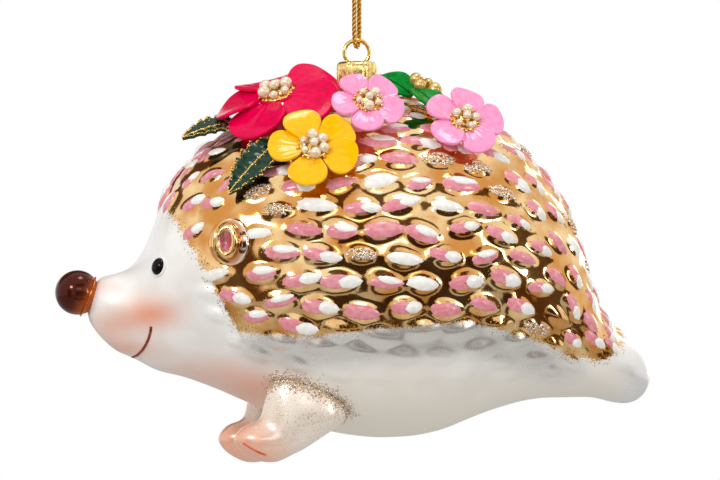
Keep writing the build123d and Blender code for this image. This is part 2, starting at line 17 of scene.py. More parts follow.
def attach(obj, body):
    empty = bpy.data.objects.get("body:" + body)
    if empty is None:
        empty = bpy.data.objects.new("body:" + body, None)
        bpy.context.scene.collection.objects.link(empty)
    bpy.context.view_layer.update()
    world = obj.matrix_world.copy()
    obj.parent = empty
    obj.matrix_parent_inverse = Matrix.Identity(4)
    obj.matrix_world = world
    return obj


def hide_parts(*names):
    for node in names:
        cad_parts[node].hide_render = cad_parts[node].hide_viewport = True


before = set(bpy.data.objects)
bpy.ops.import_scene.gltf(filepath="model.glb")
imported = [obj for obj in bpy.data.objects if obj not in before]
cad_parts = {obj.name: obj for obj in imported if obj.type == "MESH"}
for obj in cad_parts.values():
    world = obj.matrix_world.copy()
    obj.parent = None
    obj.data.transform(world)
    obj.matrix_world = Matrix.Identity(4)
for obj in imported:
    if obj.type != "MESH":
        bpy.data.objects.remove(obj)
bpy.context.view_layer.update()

log = logging.getLogger("hedgehog")
MM = 0.001
SIDES = (-1, 1)
BATCH_FACES = 600
WELD = 0.002 * MM
SNOUT_TILT = math.radians(21.5)
EAR_PLACE = (-32.0, -66.1)
PAINT_ODDS = (44, 12, 19, 12, 10, 3)
RAY_RISE = 4 * MM
SENSOR = 36.0
Color = tuple[float, float, float, float]
Pair = tuple[float, float]
Seat = tuple[Vector, Vector]
Cover = tuple[Vector, Vector, float]


class Body(Enum):
    """The rigid bodies that a piece can ride on."""

    CORD = "cord"
    HANGER = "hanger"
    ORNAMENT = "ornament"


class Paint(Enum):
    """How the painter finished one quill."""

    WHITE_BEHIND = 0
    WHITE_ABOVE = 1
    PINK = 2
    WHITE = 3
    GLITTER = 4
    BARE = 5

    @classmethod
    def pick(cls, chance: random.Random) -> "Paint":
        """One finish at random, at the coat's usual rates."""
        return chance.choices(list(cls), PAINT_ODDS)[0]


def mm(*values: float) -> Vector:
    """A vector given in millimetres."""
    return Vector(values) * MM


def srgb(red: float, green: float, blue: float) -> Color:
    """A linear colour from its screen values.

    Args:
        red: Red from 0 to 255.
        green: Green from 0 to 255.
        blue: Blue from 0 to 255.

    Returns:
        The linear colour with full alpha.
    """
    parts = [value / 255 for value in (red, green, blue)]
    linear = [part / 12.92 if part <= 0.04045 else ((part + 0.055) / 1.055) ** 2.4 for part in parts]
    return (*linear, 1.0)


class Value:
    """A shader socket that takes part in sums."""

    def __init__(self, shader: "Shader", socket: bpy.types.NodeSocket) -> None:
        """Keep the shader and the socket."""
        self.shader = shader
        self.socket = socket

    def _math(self, operation: str, other: object, swapped: bool = False) -> "Value":
        """Add one Math node.

        Args:
            operation: The node's operation.
            other: A value or a number.
            swapped: Whether other comes first.

        Returns:
            The node's result.
        """
        first, second = (other, self) if swapped else (self, other)
        node = self.shader.node("ShaderNodeMath", {"operation": operation}, {0: first, 1: second})
        return Value(self.shader, node.outputs[0])

    __add__ = partialmethod(_math, "ADD")
    __radd__ = partialmethod(_math, "ADD", swapped=True)
    __sub__ = partialmethod(_math, "SUBTRACT")
    __rsub__ = partialmethod(_math, "SUBTRACT", swapped=True)
    __mul__ = partialmethod(_math, "MULTIPLY")
    __rmul__ = partialmethod(_math, "MULTIPLY", swapped=True)

    def step(self, low: float, high: float) -> "Value":
        """A smooth step from 0 at low to 1 at high.

        Args:
            low: Where the step starts.
            high: Where it ends.

        Returns:
            The step.
        """
        settings = {"interpolation_type": "SMOOTHSTEP"}
        node = self.shader.node("ShaderNodeMapRange", settings, {"Value": self, "From Min": low, "From Max": high})
        return Value(self.shader, node.outputs[0])


class Shader:
    """A node material built in Python expressions."""

    def __init__(self, name: str) -> None:
        """Make an empty principled material.

        Args:
            name: The material's name.
        """
        self.material = bpy.data.materials.new(name)
        self.material.use_nodes = True
        self.tree = self.material.node_tree
        self.surface = self.tree.nodes["Principled BSDF"]

    def node(self, kind: str, settings: dict[str, object] | None = None,
             sockets: dict[str | int, object] | None = None) -> bpy.types.Node:
        """Add any node.

        Args:
            kind: The node's type.
            settings: Properties, set first.
            sockets: Input names or places, with a value, a socket or a Value each.

        Returns:
            The new node.
        """
        node = self.tree.nodes.new(kind)
        for key, value in (settings or {}).items():
            setattr(node, key, value)
        for key, value in (sockets or {}).items():
            self.feed(node.inputs[key], value)
        return node

    def feed(self, target: bpy.types.NodeSocket, value: object) -> None:
        """Link or set one input socket.

        Args:
            target: The input.
            value: A number, a colour, a socket or a Value.
        """
        source = value.socket if isinstance(value, Value) else value
        if isinstance(source, bpy.types.NodeSocket):
            self.tree.links.new(source, target)
        else:
            target.default_value = source

    def place(self) -> bpy.types.NodeSocket:
        """The object coordinates."""
        return self.node("ShaderNodeTexCoord").outputs["Object"]

    def noise(self, size: float, detail: float = 2.0) -> Value:
        """Noise with blobs of a given size in metres, from 0 to 1."""
        sockets = {"Vector": self.place(), "Scale": 1 / size, "Detail": detail}
        return Value(self, self.node("ShaderNodeTexNoise", {}, sockets).outputs["Fac"])

    def flakes(self, size: float) -> tuple[Value, bpy.types.NodeSocket]:
        """Cells of a given size.

        Args:
            size: A cell's size in metres.

        Returns:
            The distance to each cell's middle, and a random colour for each cell.
        """
        node = self.node("ShaderNodeTexVoronoi", {}, {"Vector": self.place(), "Scale": 1 / size})
        return Value(self, node.outputs["Distance"]), node.outputs["Color"]

    def channel(self, color: bpy.types.NodeSocket, name: str) -> Value:
        """One channel of a colour."""
        return Value(self, self.node("ShaderNodeSeparateColor", {}, {"Color": color}).outputs[name])

    def xyz(self) -> tuple[Value, Value, Value]:
        """The object coordinates in millimetres."""
        split = self.node("ShaderNodeSeparateXYZ", {}, {"Vector": self.place()})
        return tuple(Value(self, split.outputs[key]) * 1000 for key in "XYZ")

    def attribute(self, name: str) -> Value:
        """A painted attribute of the mesh."""
        return Value(self, self.node("ShaderNodeAttribute", {"attribute_name": name}).outputs["Fac"])

    def mix(self, factor: object, first: object, second: object) -> bpy.types.NodeSocket:
        """A blend from the first colour to the second."""
        node = self.node("ShaderNodeMix", {"data_type": "RGBA"}, {0: factor, 6: first, 7: second})
        return node.outputs[2]

    def set(self, **sockets: object) -> "Shader":
        """Feed the surface's sockets, named with underscores.

        Args:
            sockets: Socket names with their values or links.

        Returns:
            This shader.
        """
        for key, value in sockets.items():
            self.feed(self.surface.inputs[key.replace("_", " ")], value)
        return self

    def bump(self, height: Value, depth: float, strength: float = 1.0) -> "Shader":
        """Raise the surface by a height of 0 to 1 times a depth in metres.

        Args:
            height: What to raise.
            depth: How far 1 stands up.
            strength: The share of the effect.

        Returns:
            This shader.
        """
        sockets = {"Height": height, "Distance": depth, "Strength": strength}
        return self.set(Normal=self.node("ShaderNodeBump", {}, sockets).outputs["Normal"])


@dataclass(frozen=True)
class Enamel:
    """Glossy enamel with a little drift in its colour."""

    name: str
    color: Color
    shade: Color
    roughness: float = 0.13
    grain: float = 1.4 * MM
    gloss: float = 0.1

    def material(self) -> bpy.types.Material:
        """The enamel as a material.

        Returns:
            The new material.
        """
        shader = Shader(self.name)
        drift = shader.noise(self.grain, 3.0)
        shader.set(Base_Color=shader.mix(drift.step(0.35, 0.75), self.color, self.shade))
        shader.set(Roughness=self.roughness + 0.06 * drift, Specular_IOR_Level=self.gloss)
        return shader.bump(drift, 0.04 * MM, 0.2).material


@dataclass(frozen=True)
class Plating:
    """Plated metal with fine wear."""

    name: str
    color: Color
    deep: Color
    roughness: float = 0.2
    grain: float = 0.5 * MM
    relief: float = 0.03 * MM

    def material(self) -> bpy.types.Material:
        """The plating as a material.

        Returns:
            The new material.
        """
        shader = Shader(self.name)
        wear = shader.noise(self.grain, 4.0)
        shader.set(Base_Color=shader.mix(wear.step(0.3, 0.7), self.deep, self.color), Metallic=1.0)
        shader.set(Roughness=self.roughness + 0.15 * (wear - 0.5))
        return shader.bump(wear, self.relief).material


@dataclass(frozen=True)
class Glitter:
    """Loose glitter whose flakes differ in colour."""

    name: str
    first: Color
    second: Color

    def material(self) -> bpy.types.Material:
        """The glitter as a material.

        Returns:
            The new material.
        """
        shader = Shader(self.name)
        part = shader.channel(shader.flakes(0.35 * MM)[1], "Red")
        shader.set(Base_Color=shader.mix(part, self.first, self.second), Metallic=0.8, Roughness=0.2 + 0.15 * part)
        return shader.material


@dataclass(frozen=True)
class Pearl:
    """Imitation pearl with a soft lustre."""

    name: str
    color: Color
    shade: Color
    metal: float = 0.0

    def material(self) -> bpy.types.Material:
        """The pearl as a material.

        Returns:
            The new material.
        """
        shader = Shader(self.name)
        cloud = shader.noise(1.1 * MM, 2.0)
        shader.set(Base_Color=shader.mix(cloud.step(0.3, 0.75), self.color, self.shade), Metallic=self.metal)
        shader.set(Roughness=0.22 + 0.08 * cloud, Coat_Weight=0.5, Coat_Roughness=0.04)
        return shader.material


GOLD = Plating("gold_plate", srgb(250, 214, 130), srgb(222, 170, 76), 0.2)
RING_GOLD = Plating("ring_gold", srgb(250, 212, 126), srgb(232, 184, 92), 0.1, 2.0 * MM, 0.004 * MM)
THREAD = Plating("gold_thread", srgb(240, 194, 92), srgb(160, 106, 30), 0.34, 0.22 * MM, 0.05 * MM)
PEARL = Pearl("ivory_pearl", srgb(248, 232, 206), srgb(230, 198, 166), 0.25)
GOLD_PEARL = Pearl("gold_pearl", srgb(232, 198, 122), srgb(190, 144, 66), 0.55)
SILVER_GLITTER = Glitter("silver_glitter", srgb(244, 238, 230), srgb(206, 166, 110))
GOLD_GLITTER = Glitter("gold_glitter", srgb(236, 182, 52), srgb(176, 114, 14))
MAGENTA = Enamel("magenta_enamel", srgb(236, 0, 78), srgb(216, 0, 66))
YELLOW = Enamel("yellow_enamel", srgb(255, 196, 0), srgb(254, 184, 0), 0.1, gloss=0.3)
PINK = Enamel("pink_enamel", srgb(255, 164, 206), srgb(253, 148, 192), 0.1, gloss=0.3)
DAB_PINK = Enamel("dab_pink", srgb(226, 134, 146), srgb(238, 168, 174), 0.14, 1.3 * MM, 0.4)
DAB_WHITE = Enamel("dab_white", srgb(253, 250, 244), srgb(240, 235, 226), 0.16, 1.3 * MM, 0.4)
LEAF_GREEN = Enamel("leaf_green", srgb(8, 156, 54), srgb(4, 122, 40))
DARK_GREEN = Enamel("dark_leaf_enamel", srgb(18, 62, 38), srgb(6, 30, 20), 0.14, 0.8 * MM, 0.3)
Finish = Enamel | Plating | Glitter | Pearl


def place_object(name: str, data: bpy.types.ID) -> bpy.types.Object:
    """Put object data in the scene, as a new object.

    Args:
        name: The object's name.
        data: Its mesh, curve, camera or light.

    Returns:
        The new object.
    """
    item = bpy.data.objects.new(name, data)
    bpy.context.scene.collection.objects.link(item)
    return item


def stand(name: str, mesh: bpy.types.Mesh, material: bpy.types.Material, stands_for: Sequence[str] = (),
          body: Body = Body.ORNAMENT) -> bpy.types.Object:
    """Put a finished mesh in the scene as a piece that rides on a body.

    Args:
        name: The piece's name.
        mesh: Its mesh, already in place.
        material: Its finish.
        stands_for: CAD nodes that it replaces.
        body: The body it rides on.

    Returns:
        The new object.
    """
    mesh.name = name
    mesh.materials.clear()
    mesh.materials.append(material)
    for polygon in mesh.polygons:
        polygon.use_smooth = True
    piece = place_object(name, mesh)
    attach(piece, body.value)
    if stands_for:
        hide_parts(*stands_for)
    log.info("%s: %d faces", name, len(mesh.polygons))
    return piece


def as_mesh(shape: bmesh.types.BMesh, turn_out: bool = True) -> bpy.types.Mesh:
    """A mesh from a bmesh, which is freed.

    Args:
        shape: The bmesh.
        turn_out: Whether its faces are first turned outwards.

    Returns:
        The new mesh.
    """
    if turn_out:
        bmesh.ops.recalc_face_normals(shape, faces=shape.faces)
    mesh = bpy.data.meshes.new("shape")
    shape.to_mesh(mesh)
    shape.free()
    return mesh


def settled(data: bpy.types.ID, modifiers: Sequence[tuple[str, dict[str, object]]] = ()) -> bpy.types.Mesh:
    """A mesh from a mesh or curve, with modifiers applied.

    Args:
        data: The mesh or curve to start from.
        modifiers: Modifier types with their settings, in order.

    Returns:
        The new mesh.
    """
    holder = place_object("holder", data)
    for kind, settings in modifiers:
        modifier = holder.modifiers.new(kind, kind)
        for key, value in settings.items():
            setattr(modifier, key, value)
    graph = bpy.context.evaluated_depsgraph_get()
    result = bpy.data.meshes.new_from_object(holder.evaluated_get(graph))
    bpy.data.objects.remove(holder)
    return result


def sheet(shape: bmesh.types.BMesh, frame_of: Matrix, thickness: float, offset: float) -> bpy.types.Mesh:
    """A thin shape made solid and smooth.

    Args:
        shape: The bmesh, which is freed.
        frame_of: Where it goes.
        thickness: How thick it gets.
        offset: To which side, from -1 to 1.

    Returns:
        The new mesh.
    """
    mesh = as_mesh(shape, False)
    mesh.transform(frame_of)
    return settled(mesh, [
        ("SOLIDIFY", {"thickness": thickness, "offset": offset}),
        ("SUBSURF", {"levels": 1, "render_levels": 1}),
    ])


def tubes(lines: Iterable[Sequence[Vector]], radius: float, closed: bool = False) -> bpy.types.Mesh:
    """Round wires along lines of points.

    Args:
        lines: The points of each wire.
        radius: The wire's radius.
        closed: Whether each wire is a ring.

    Returns:
        One mesh with all the wires.
    """
    curve = bpy.data.curves.new("wires", "CURVE")
    curve.dimensions = "3D"
    curve.bevel_depth = radius
    curve.bevel_resolution = 2
    curve.use_fill_caps = True
    for line in lines:
        spline = curve.splines.new("POLY")
        spline.points.add(len(line) - 1)
        for point, place in zip(spline.points, line):
            point.co = (*place, 1.0)
        spline.use_cyclic_u = closed
    mesh = settled(curve)
    bpy.data.curves.remove(curve)
    return mesh


def axes(place: Vector, along: Vector, normal: Vector) -> Matrix:
    """A frame at a place with X along a direction and Z on a normal.

    Args:
        place: The frame's origin.
        along: The rough direction of X.
        normal: The direction of Z.

    Returns:
        The frame as a matrix.
    """
    up = normal.normalized()
    across = up.cross(along).normalized()
    forward = across.cross(up)
    return Matrix.Translation(place) @ Matrix((forward, across, up)).transposed().to_4x4()


def polar(radius: float, turn: float, height: float = 0.0) -> Vector:
    """A point at a distance and a turn round Z."""
    return Vector((radius * math.cos(turn), radius * math.sin(turn), height))


def snout_frame(middle: Vector) -> Matrix:
    """A frame whose XY plane lies across the tilted end of the snout.

    Args:
        middle: The frame's origin.

    Returns:
        The frame as a matrix.
    """
    lean, face = math.sin(SNOUT_TILT), math.cos(SNOUT_TILT)
    turn = Matrix(((0, lean, face, 0), (1, 0, 0, 0), (0, face, -lean, 0), (0, 0, 0, 1)))
    return Matrix.Translation(middle) @ turn


def oval(frame_of: Matrix, half_x: float, half_y: float, count: int) -> list[Vector]:
    """Points of an oval in the XY plane of a frame.

    Args:
        frame_of: The frame.
        half_x: Half its size along X.
        half_y: Half its size along Y.
        count: How many points.

    Returns:
        The points in turn.
    """
    turns = [math.tau * step / count for step in range(count)]
    return [frame_of @ Vector((half_x * math.cos(turn), half_y * math.sin(turn), 0)) for turn in turns]


def spun(profile: Sequence[tuple[float, float]], steps: int, closed: bool = False) -> bmesh.types.BMesh:
    """A profile turned about Z.

    Args:
        profile: Radii and heights in metres.
        steps: How many steps make the turn.
        closed: Whether the profile runs back to its start.

    Returns:
        The new bmesh.
    """
    shape = bmesh.new()
    verts = [shape.verts.new((radius, 0, height)) for radius, height in profile]
    following = verts[1:] + verts[:1] if closed else verts[1:]
    edges = [shape.edges.new(pair) for pair in zip(verts, following)]
    bmesh.ops.spin(shape, geom=verts + edges, cent=(0, 0, 0), axis=(0, 0, 1), angle=math.tau, steps=steps,
                   use_merge=True)
    bmesh.ops.remove_doubles(shape, verts=shape.verts, dist=WELD)
    return shape


def tint(mesh: bpy.types.Mesh, zones: dict[str, Sequence[float]]) -> None:
    """Write painted zones on a mesh's points, as attributes."""
    for name, strength in zones.items():
        mesh.attributes.new(name, "FLOAT", "POINT").data.foreach_set("value", strength)


def surface_of(mesh: bpy.types.Mesh) -> BVHTree:
    """A mesh's surface, for what is laid on it.

    Args:
        mesh: The mesh.

    Returns:
        The surface as a search tree.
    """
    shape = bmesh.new()
    shape.from_mesh(mesh)
    surface = BVHTree.FromBMesh(shape)
    shape.free()
    return surface


def gather(shape: bmesh.types.BMesh, batch: bmesh.types.BMesh) -> None:
    """Move a batch of small shapes into a larger one, and free the batch.

    Args:
        shape: The larger bmesh.
        batch: The bmesh of small shapes.
    """
    mesh = bpy.data.meshes.new("batch")
    batch.to_mesh(mesh)
    batch.free()
    shape.from_mesh(mesh)
    bpy.data.meshes.remove(mesh)


def scatter_flakes(shape: bmesh.types.BMesh, places: Iterable[Seat], size: float,
                   chance: random.Random) -> None:
    """Add small tilted flakes.

    Args:
        shape: The bmesh that takes them.
        places: A point and a normal for each flake.
        size: The usual flake's width.
        chance: The source of their tilt and size.
    """
    batch = bmesh.new()
    for place, normal in places:
        tilt = Vector([chance.uniform(-0.7, 0.7) for _ in range(3)])
        frame_of = axes(place, Vector((0.31, 0.17, 0.93)), normal + tilt)
        wide = size * chance.uniform(0.35, 0.65)
        bmesh.ops.create_cone(batch, cap_ends=True, segments=4, radius1=wide, radius2=0.55 * wide,
                              depth=0.7 * wide, matrix=frame_of)
        if len(batch.faces) > BATCH_FACES:
            gather(shape, batch)
            batch = bmesh.new()
    gather(shape, batch)


def sprinkle(name: str, places: Iterable[Seat], size: float, chance: random.Random, finish: Finish) -> None:
    """Put a piece of loose flakes on the ornament.

    Args:
        name: The piece's name.
        places: A point and a normal for each flake.
        size: The usual flake's width.
        chance: The source of their tilt and size.
        finish: Their finish.
    """
    shape = bmesh.new()
    scatter_flakes(shape, places, size, chance)
    stand(name, as_mesh(shape), finish.material())


def gap_to(place: Vector, start: Vector, end: Vector) -> float:
    """How far a place lies from the straight line between two others.

    Args:
        place: The place.
        start: One end of the line.
        end: Its other end.

    Returns:
        The distance.
    """
    run = end - start
    share = max(0.0, min(1.0, (place - start).dot(run) / run.length_squared))
    return (place - start - run * share).length


@dataclass(frozen=True)
class Stroke:
    """One brush dab, in shares of a quill's half length and half width.

    Its thickness is in millimetres. Without a place aside, it drops by chance.
    """

    white: bool
    back: float
    aside: float | None
    long: float
    broad: float
    thick: float


STROKES = {
    Paint.WHITE_BEHIND: (Stroke(False, -0.12, 0.0, 0.88, 1.0, 0.2), Stroke(True, 0.48, None, 0.6, 0.9, 0.4)),
    Paint.WHITE_ABOVE: (Stroke(False, 0.06, -0.2, 0.98, 1.0, 0.2), Stroke(True, 0.22, 0.34, 0.72, 0.64, 0.38)),
    Paint.PINK: (Stroke(False, 0.05, 0.0, 1.0, 1.05, 0.26),),
    Paint.WHITE: (Stroke(True, 0.05, 0.0, 0.96, 1.0, 0.3),),
}


@dataclass
class Quill:
    """One quill of the coat."""

    place: Vector
    along: Vector
    normal: Vector
    length: float
    width: float
    rise: float
    paint: Paint

    def frame(self) -> Matrix:
        """The quill's own frame on the glass."""
        return axes(self.place, self.along, self.normal)


@dataclass
class BlownBody:
    """The blown body: its form, its neck, its quilled coat and its painted zones."""

    length: float = 130.0 * MM
    width: float = 64.0 * MM
    height: float = 77.0 * MM
    snout_x: float = -61.8 * MM
    belly_z: float = -111.2 * MM
    snout_share: float = 0.421
    snout_half: Pair = (4.4 * MM, 4.7 * MM)
    sides: int = 96
    neck_radius: float = 3.8 * MM
    neck_bore: float = 2.8 * MM
    neck_top: float = -26.2 * MM
    crown_z: float = -34.2 * MM
    quill_length: float = 8.6 * MM
    quill_width: float = 4.4 * MM
    quill_rise: float = 0.95 * MM
    low_rise: float = 0.5 * MM
    quill_rows: int = 13
    fur_rows: int = 3
    first_turn: float = 6.0
    row_turn: float = 8.8
    pitch_share: float = 0.070
    span_shares: Pair = (0.137, 0.950)
    slim_share: float = 0.62
    ear_clear: float = 6.4 * MM
    ear_near: float = 7.4 * MM
    neck_clear: float = 7.5 * MM
    fur_span: Pair = (-29 * MM, 50 * MM)
    fur_depth: float = 13.0
    ear_sink: float = 1.48 * MM
    cheek_size: tuple[float, float, float] = (5.6 * MM, 3.6 * MM, 0.8 * MM)
    end_spans: tuple[tuple[int, int, int], ...] = ((-1, -62, -40), (1, -88, -42))
    end_gap: float = 4.0 * MM
    end_size: float = 0.85
    quill_reach: float = 6 * MM
    dab_steps: tuple[Pair, ...] = ((0.2, 0.6), (0.36, 0.4))
    patch_flakes: int = 110
    patch_flake: float = 0.78 * MM
    outlined: float = 0.7
    outline_flakes: int = 26
    outline_flake: float = 0.3 * MM
    edge_flakes: int = 11
    edge_flake: float = 0.32 * MM
    waves: int = 9
    wave_height: float = 0.045 * MM
    wave_lengths: Pair = (5.5, 11.0)
    section_shares: tuple[tuple[float, float, float, float], ...] = (
        (0.044, 0.487, 0.260, 0.236), (0.081, 0.515, 0.239, 0.325), (0.103, 0.564, 0.216, 0.390),
        (0.120, 0.660, 0.201, 0.450), (0.149, 0.758, 0.191, 0.543), (0.195, 0.849, 0.167, 0.676),
        (0.267, 0.920, 0.116, 0.829), (0.374, 0.976, 0.042, 0.957), (0.499, 1.000, 0.000, 1.000),
        (0.606, 0.988, 0.012, 0.971), (0.713, 0.930, 0.078, 0.861), (0.793, 0.813, 0.112, 0.721),
        (0.847, 0.684, 0.115, 0.600), (0.881, 0.501, 0.116, 0.521), (0.906, 0.376, 0.113, 0.464),
        (0.945, 0.319, 0.096, 0.379), (0.981, 0.278, 0.106, 0.272), (0.995, 0.244, 0.130, 0.184),
        (1.000, 0.218, 0.156, 0.100),
    )
    quill_floor_shares: tuple[Pair, ...] = (
        (0.129, 0.715), (0.182, 0.550), (0.241, 0.350), (0.352, 0.340), (0.641, 0.385), (0.738, 0.340),
        (0.898, 0.262), (0.955, 0.290),
    )
    coat_edge: tuple[Pair, ...] = (
        (-49.0, -40.0), (-45.0, -57.4), (-38.2, -70.5), (-34.6, -77.4), (-29.6, -86.2), (-27.1, -86.4),
        (-16.0, -87.3), (1.1, -85.5), (11.9, -84.6), (21.5, -83.9), (34.1, -87.1), (41.5, -89.8),
        (47.3, -92.4), (55.0, -93.1), (60.3, -89.2), (66.0, -70.0), (66.0, -20.0), (-49.0, -20.0),
    )
    blush_spots: tuple[tuple[float, ...], ...] = (
        (0.95, -48.5, -82.5, 6.0, 3.6), (0.55, -57.0, -85.5, 5.5, 3.4), (0.6, -54.0, -90.5, 8.0, 2.2),
        (0.7, -25.0, -100.5, 8.0, 6.0), (0.45, -37.0, -96.5, 10.0, 4.0), (0.35, -59.0, -76.0, 3.0, 2.0),
    )
    cheek_quills: tuple[Pair, ...] = ((-36.4, -77.6), (-34.6, -82.6), (-30.4, -88.4))
    quills: list[Quill] = field(default_factory=list)
    glass: BVHTree | None = None

    def smooth_sections(self) -> np.ndarray:
        """The sections' shares at close steps, on a smooth curve through the given ones.

        Returns:
            Rows of a share along the length, then top, bottom and width.
        """
        rows = np.array(self.section_shares)
        slopes = np.gradient(rows[:, 1:], rows[:, 0], axis=0)
        along = np.concatenate([np.linspace(rows[0, 0], 0.881, 40), (0.893, 0.906, 0.925, 0.945, 0.963), rows[-3:, 0]])
        first = np.clip(np.searchsorted(rows[:, 0], along, "right") - 1, 0, len(rows) - 2)
        run = rows[first + 1, 0] - rows[first, 0]
        part = ((along - rows[first, 0]) / run)[:, None]
        run = run[:, None]
        ease = part**2 * (3 - 2 * part)
        start, end = rows[first, 1:], rows[first + 1, 1:]
        bend = part * (1 - part) ** 2 * run * slopes[first] - part**2 * (1 - part) * run * slopes[first + 1]
        return np.column_stack([along, start + ease * (end - start) + bend])

    def cage(self) -> bpy.types.Mesh:
        """The coarse form: ovals from snout to rump, bridged and closed at both ends.

        Returns:
            The new mesh.
        """
        snout = Vector((self.snout_x, 0, self.belly_z + self.snout_share * self.height))
        rings = [snout_frame(snout) @ Matrix.Diagonal((*self.snout_half, 1, 1))]
        upright = Matrix(((0, 0, 1, 0), (1, 0, 0, 0), (0, 1, 0, 0), (0, 0, 0, 1)))
        for row in self.smooth_sections():
            middle, half_width, half_height = self.measures(*row)
            rings.append(Matrix.Translation(middle) @ upright @ Matrix.Diagonal((half_width, half_height, 1, 1)))
        for past, share in ((0.0011, 0.6), (0.0007, 0.3)):
            further = Matrix.Translation((past * self.length, 0, 0))
            rings.append(further @ rings[-1] @ Matrix.Diagonal((share, share, 1, 1)))
        shape = bmesh.new()
        loops = []
        for matrix in rings:
            made = bmesh.ops.create_circle(shape, segments=self.sides, radius=1.0, matrix=matrix)
            loops.append(list({edge for vert in made["verts"] for edge in vert.link_edges}))
        for first, second in zip(loops, loops[1:]):
            bmesh.ops.bridge_loops(shape, edges=first + second)
        for loop in (loops[0], loops[-1]):
            bmesh.ops.contextual_create(shape, geom=loop)
        return as_mesh(shape)

    def seat(self, start: Vector, way: Vector) -> Seat:
        """The first point and normal of the glass along a ray."""
        place, normal, _, _ = self.glass.ray_cast(start, way)
        return place, normal

    def side_seat(self, x: float, z: float, side: int = -1) -> Seat:
        """The point and normal on one side, at x and z in millimetres."""
        return self.seat(mm(x, side * 80, z), Vector((0, -side, 0)))

    def section(self, along: float) -> tuple[Vector, float, float]:
        """The middle, half width and half height at a share of the length.

        Args:
            along: The share of the length.

        Returns:
            The section's middle, half width and half height.
        """
        rows = np.array(self.section_shares)
        top, bottom, wide = (float(np.interp(along, rows[:, 0], rows[:, column])) for column in (1, 2, 3))
        return self.measures(along, top, bottom, wide)

    def measures(self, along: float, top: float, bottom: float, wide: float) -> tuple[Vector, float, float]:
        """The middle, half width and half height of a section that is given in shares."""
        middle = Vector((self.snout_x + along * self.length, 0, self.belly_z + (top + bottom) / 2 * self.height))
        return middle, wide * self.width / 2, (top - bottom) / 2 * self.height

    def skin(self, along: float, turn: float, side: int) -> Vector:
        """A point of the plain form, at a share of its length and a turn from the crown in degrees.

        Args:
            along: The share of the length.
            turn: The turn from the crown, in degrees.
            side: Which side, -1 or 1.

        Returns:
            The point.
        """
        middle, half_width, half_height = self.section(along)
        angle = math.radians(turn)
        return middle + Vector((0, side * half_width * math.sin(angle), half_height * math.cos(angle)))

    def inside_coat(self, x: np.ndarray, z: np.ndarray) -> np.ndarray:
        """How far points lie inside the gold coat, in millimetres.

        Args:
            x: Places along the body in metres.
            z: Heights in metres.

        Returns:
            Distances to the coat's edge, negative outside it.
        """
        px, pz = x / MM, z / MM
        best = np.full(px.shape, 1e9)
        inside = np.zeros(px.shape, bool)
        corners = list(self.coat_edge)
        for (ax, az), (bx, bz) in zip(corners, corners[1:] + corners[:1]):
            run = np.clip(((px - ax) * (bx - ax) + (pz - az) * (bz - az)) / ((bx - ax) ** 2 + (bz - az) ** 2), 0, 1)
            best = np.minimum(best, np.hypot(px - ax - run * (bx - ax), pz - az - run * (bz - az)))
            if az != bz:
                inside ^= ((az > pz) != (bz > pz)) & (px < (bx - ax) * (pz - az) / (bz - az) + ax)
        return np.where(inside, best, -best)

    def depth_at(self, place: Vector) -> float:
        """How far one place lies inside the gold coat, in millimetres."""
        return float(self.inside_coat(np.array([place.x]), np.array([place.z]))[0])

    def covers(self) -> list[Cover]:
        """Lines under the garland along which the quills stay low, with how far.

        Returns:
            Both ends of each line, and how far from it.
        """
        crown = Vector((0, 0, self.crown_z))
        lines = [(crown, Vector((0, 0, self.neck_top)), self.neck_radius + self.quill_length / 2)]
        for flower in FLOWERS:
            place = mm(*flower.place)
            middle, half_width, half_height = self.section((place.x - self.snout_x) / self.length)
            reach = place - middle
            reach /= math.hypot(reach.y / half_width, reach.z / half_height)
            lines += [(crown, place, self.quill_width), (place, middle + reach, flower.diameter / 2)]
        for leaf in LEAVES:
            lines.append((mm(*leaf.base), mm(*leaf.tip), leaf.width / 2 + self.quill_width / 2))
        return lines

    def lay_quills(self) -> None:
        """Lay the quills in staggered rows that stream from the brow to the rump, on both sides."""
        chance = random.Random(7)
        covers = self.covers()
        floor = np.array(self.quill_floor_shares)
        ear, out = self.side_seat(*EAR_PLACE)
        ear -= out * self.ear_sink
        for side in SIDES:
            for x, z in self.cheek_quills:
                place, normal = self.side_seat(x, z, side)
                back = Vector((1, 0, -0.2))
                self.quills.append(Quill(place, back, normal, *self.cheek_size, Paint.BARE))
        first, last = self.span_shares
        for row in range(self.quill_rows + self.fur_rows):
            turn = self.first_turn + row * self.row_turn
            for step in range(int((last - first) / self.pitch_share) + 1):
                along = first + (step + row % 2 / 2) * self.pitch_share
                half_width = self.section(along)[1]
                low = self.belly_z + np.interp(along, floor[:, 0], floor[:, 1]) * self.height
                slim = row % 2 and half_width < self.slim_share * self.width / 2
                for side in SIDES:
                    near_ear = Vector((ear.x, -side * ear.y, ear.z))
                    self.lay_quill(along, turn, side, low, covers, near_ear, slim, chance)
        self.fill_ends(chance)
        log.info("quills: %d", len(self.quills))

    def fill_ends(self, chance: random.Random) -> None:
        """Lay low quills where the rows run apart, at the brow and the rump.

        Args:
            chance: The source of their paint.
        """
        length, width = self.end_size * self.quill_length, self.end_size * self.quill_width
        for end, lowest, highest in self.end_spans:
            for level, height in enumerate(range(lowest, highest, 5)):
                for step in range(-5, 6):
                    start = mm(100 * end, 3.6 * (step + level % 2 / 2), height)
                    place, normal = self.seat(start, Vector((-end, 0, 0)))
                    if place is None or any((place - quill.place).length < self.end_gap for quill in self.quills):
                        continue
                    if self.depth_at(place) < 2.0:
                        continue
                    back = Vector((1, 0, 0)) - normal * normal.x
                    self.quills.append(Quill(place, back, normal, length, width, self.low_rise, Paint.pick(chance)))

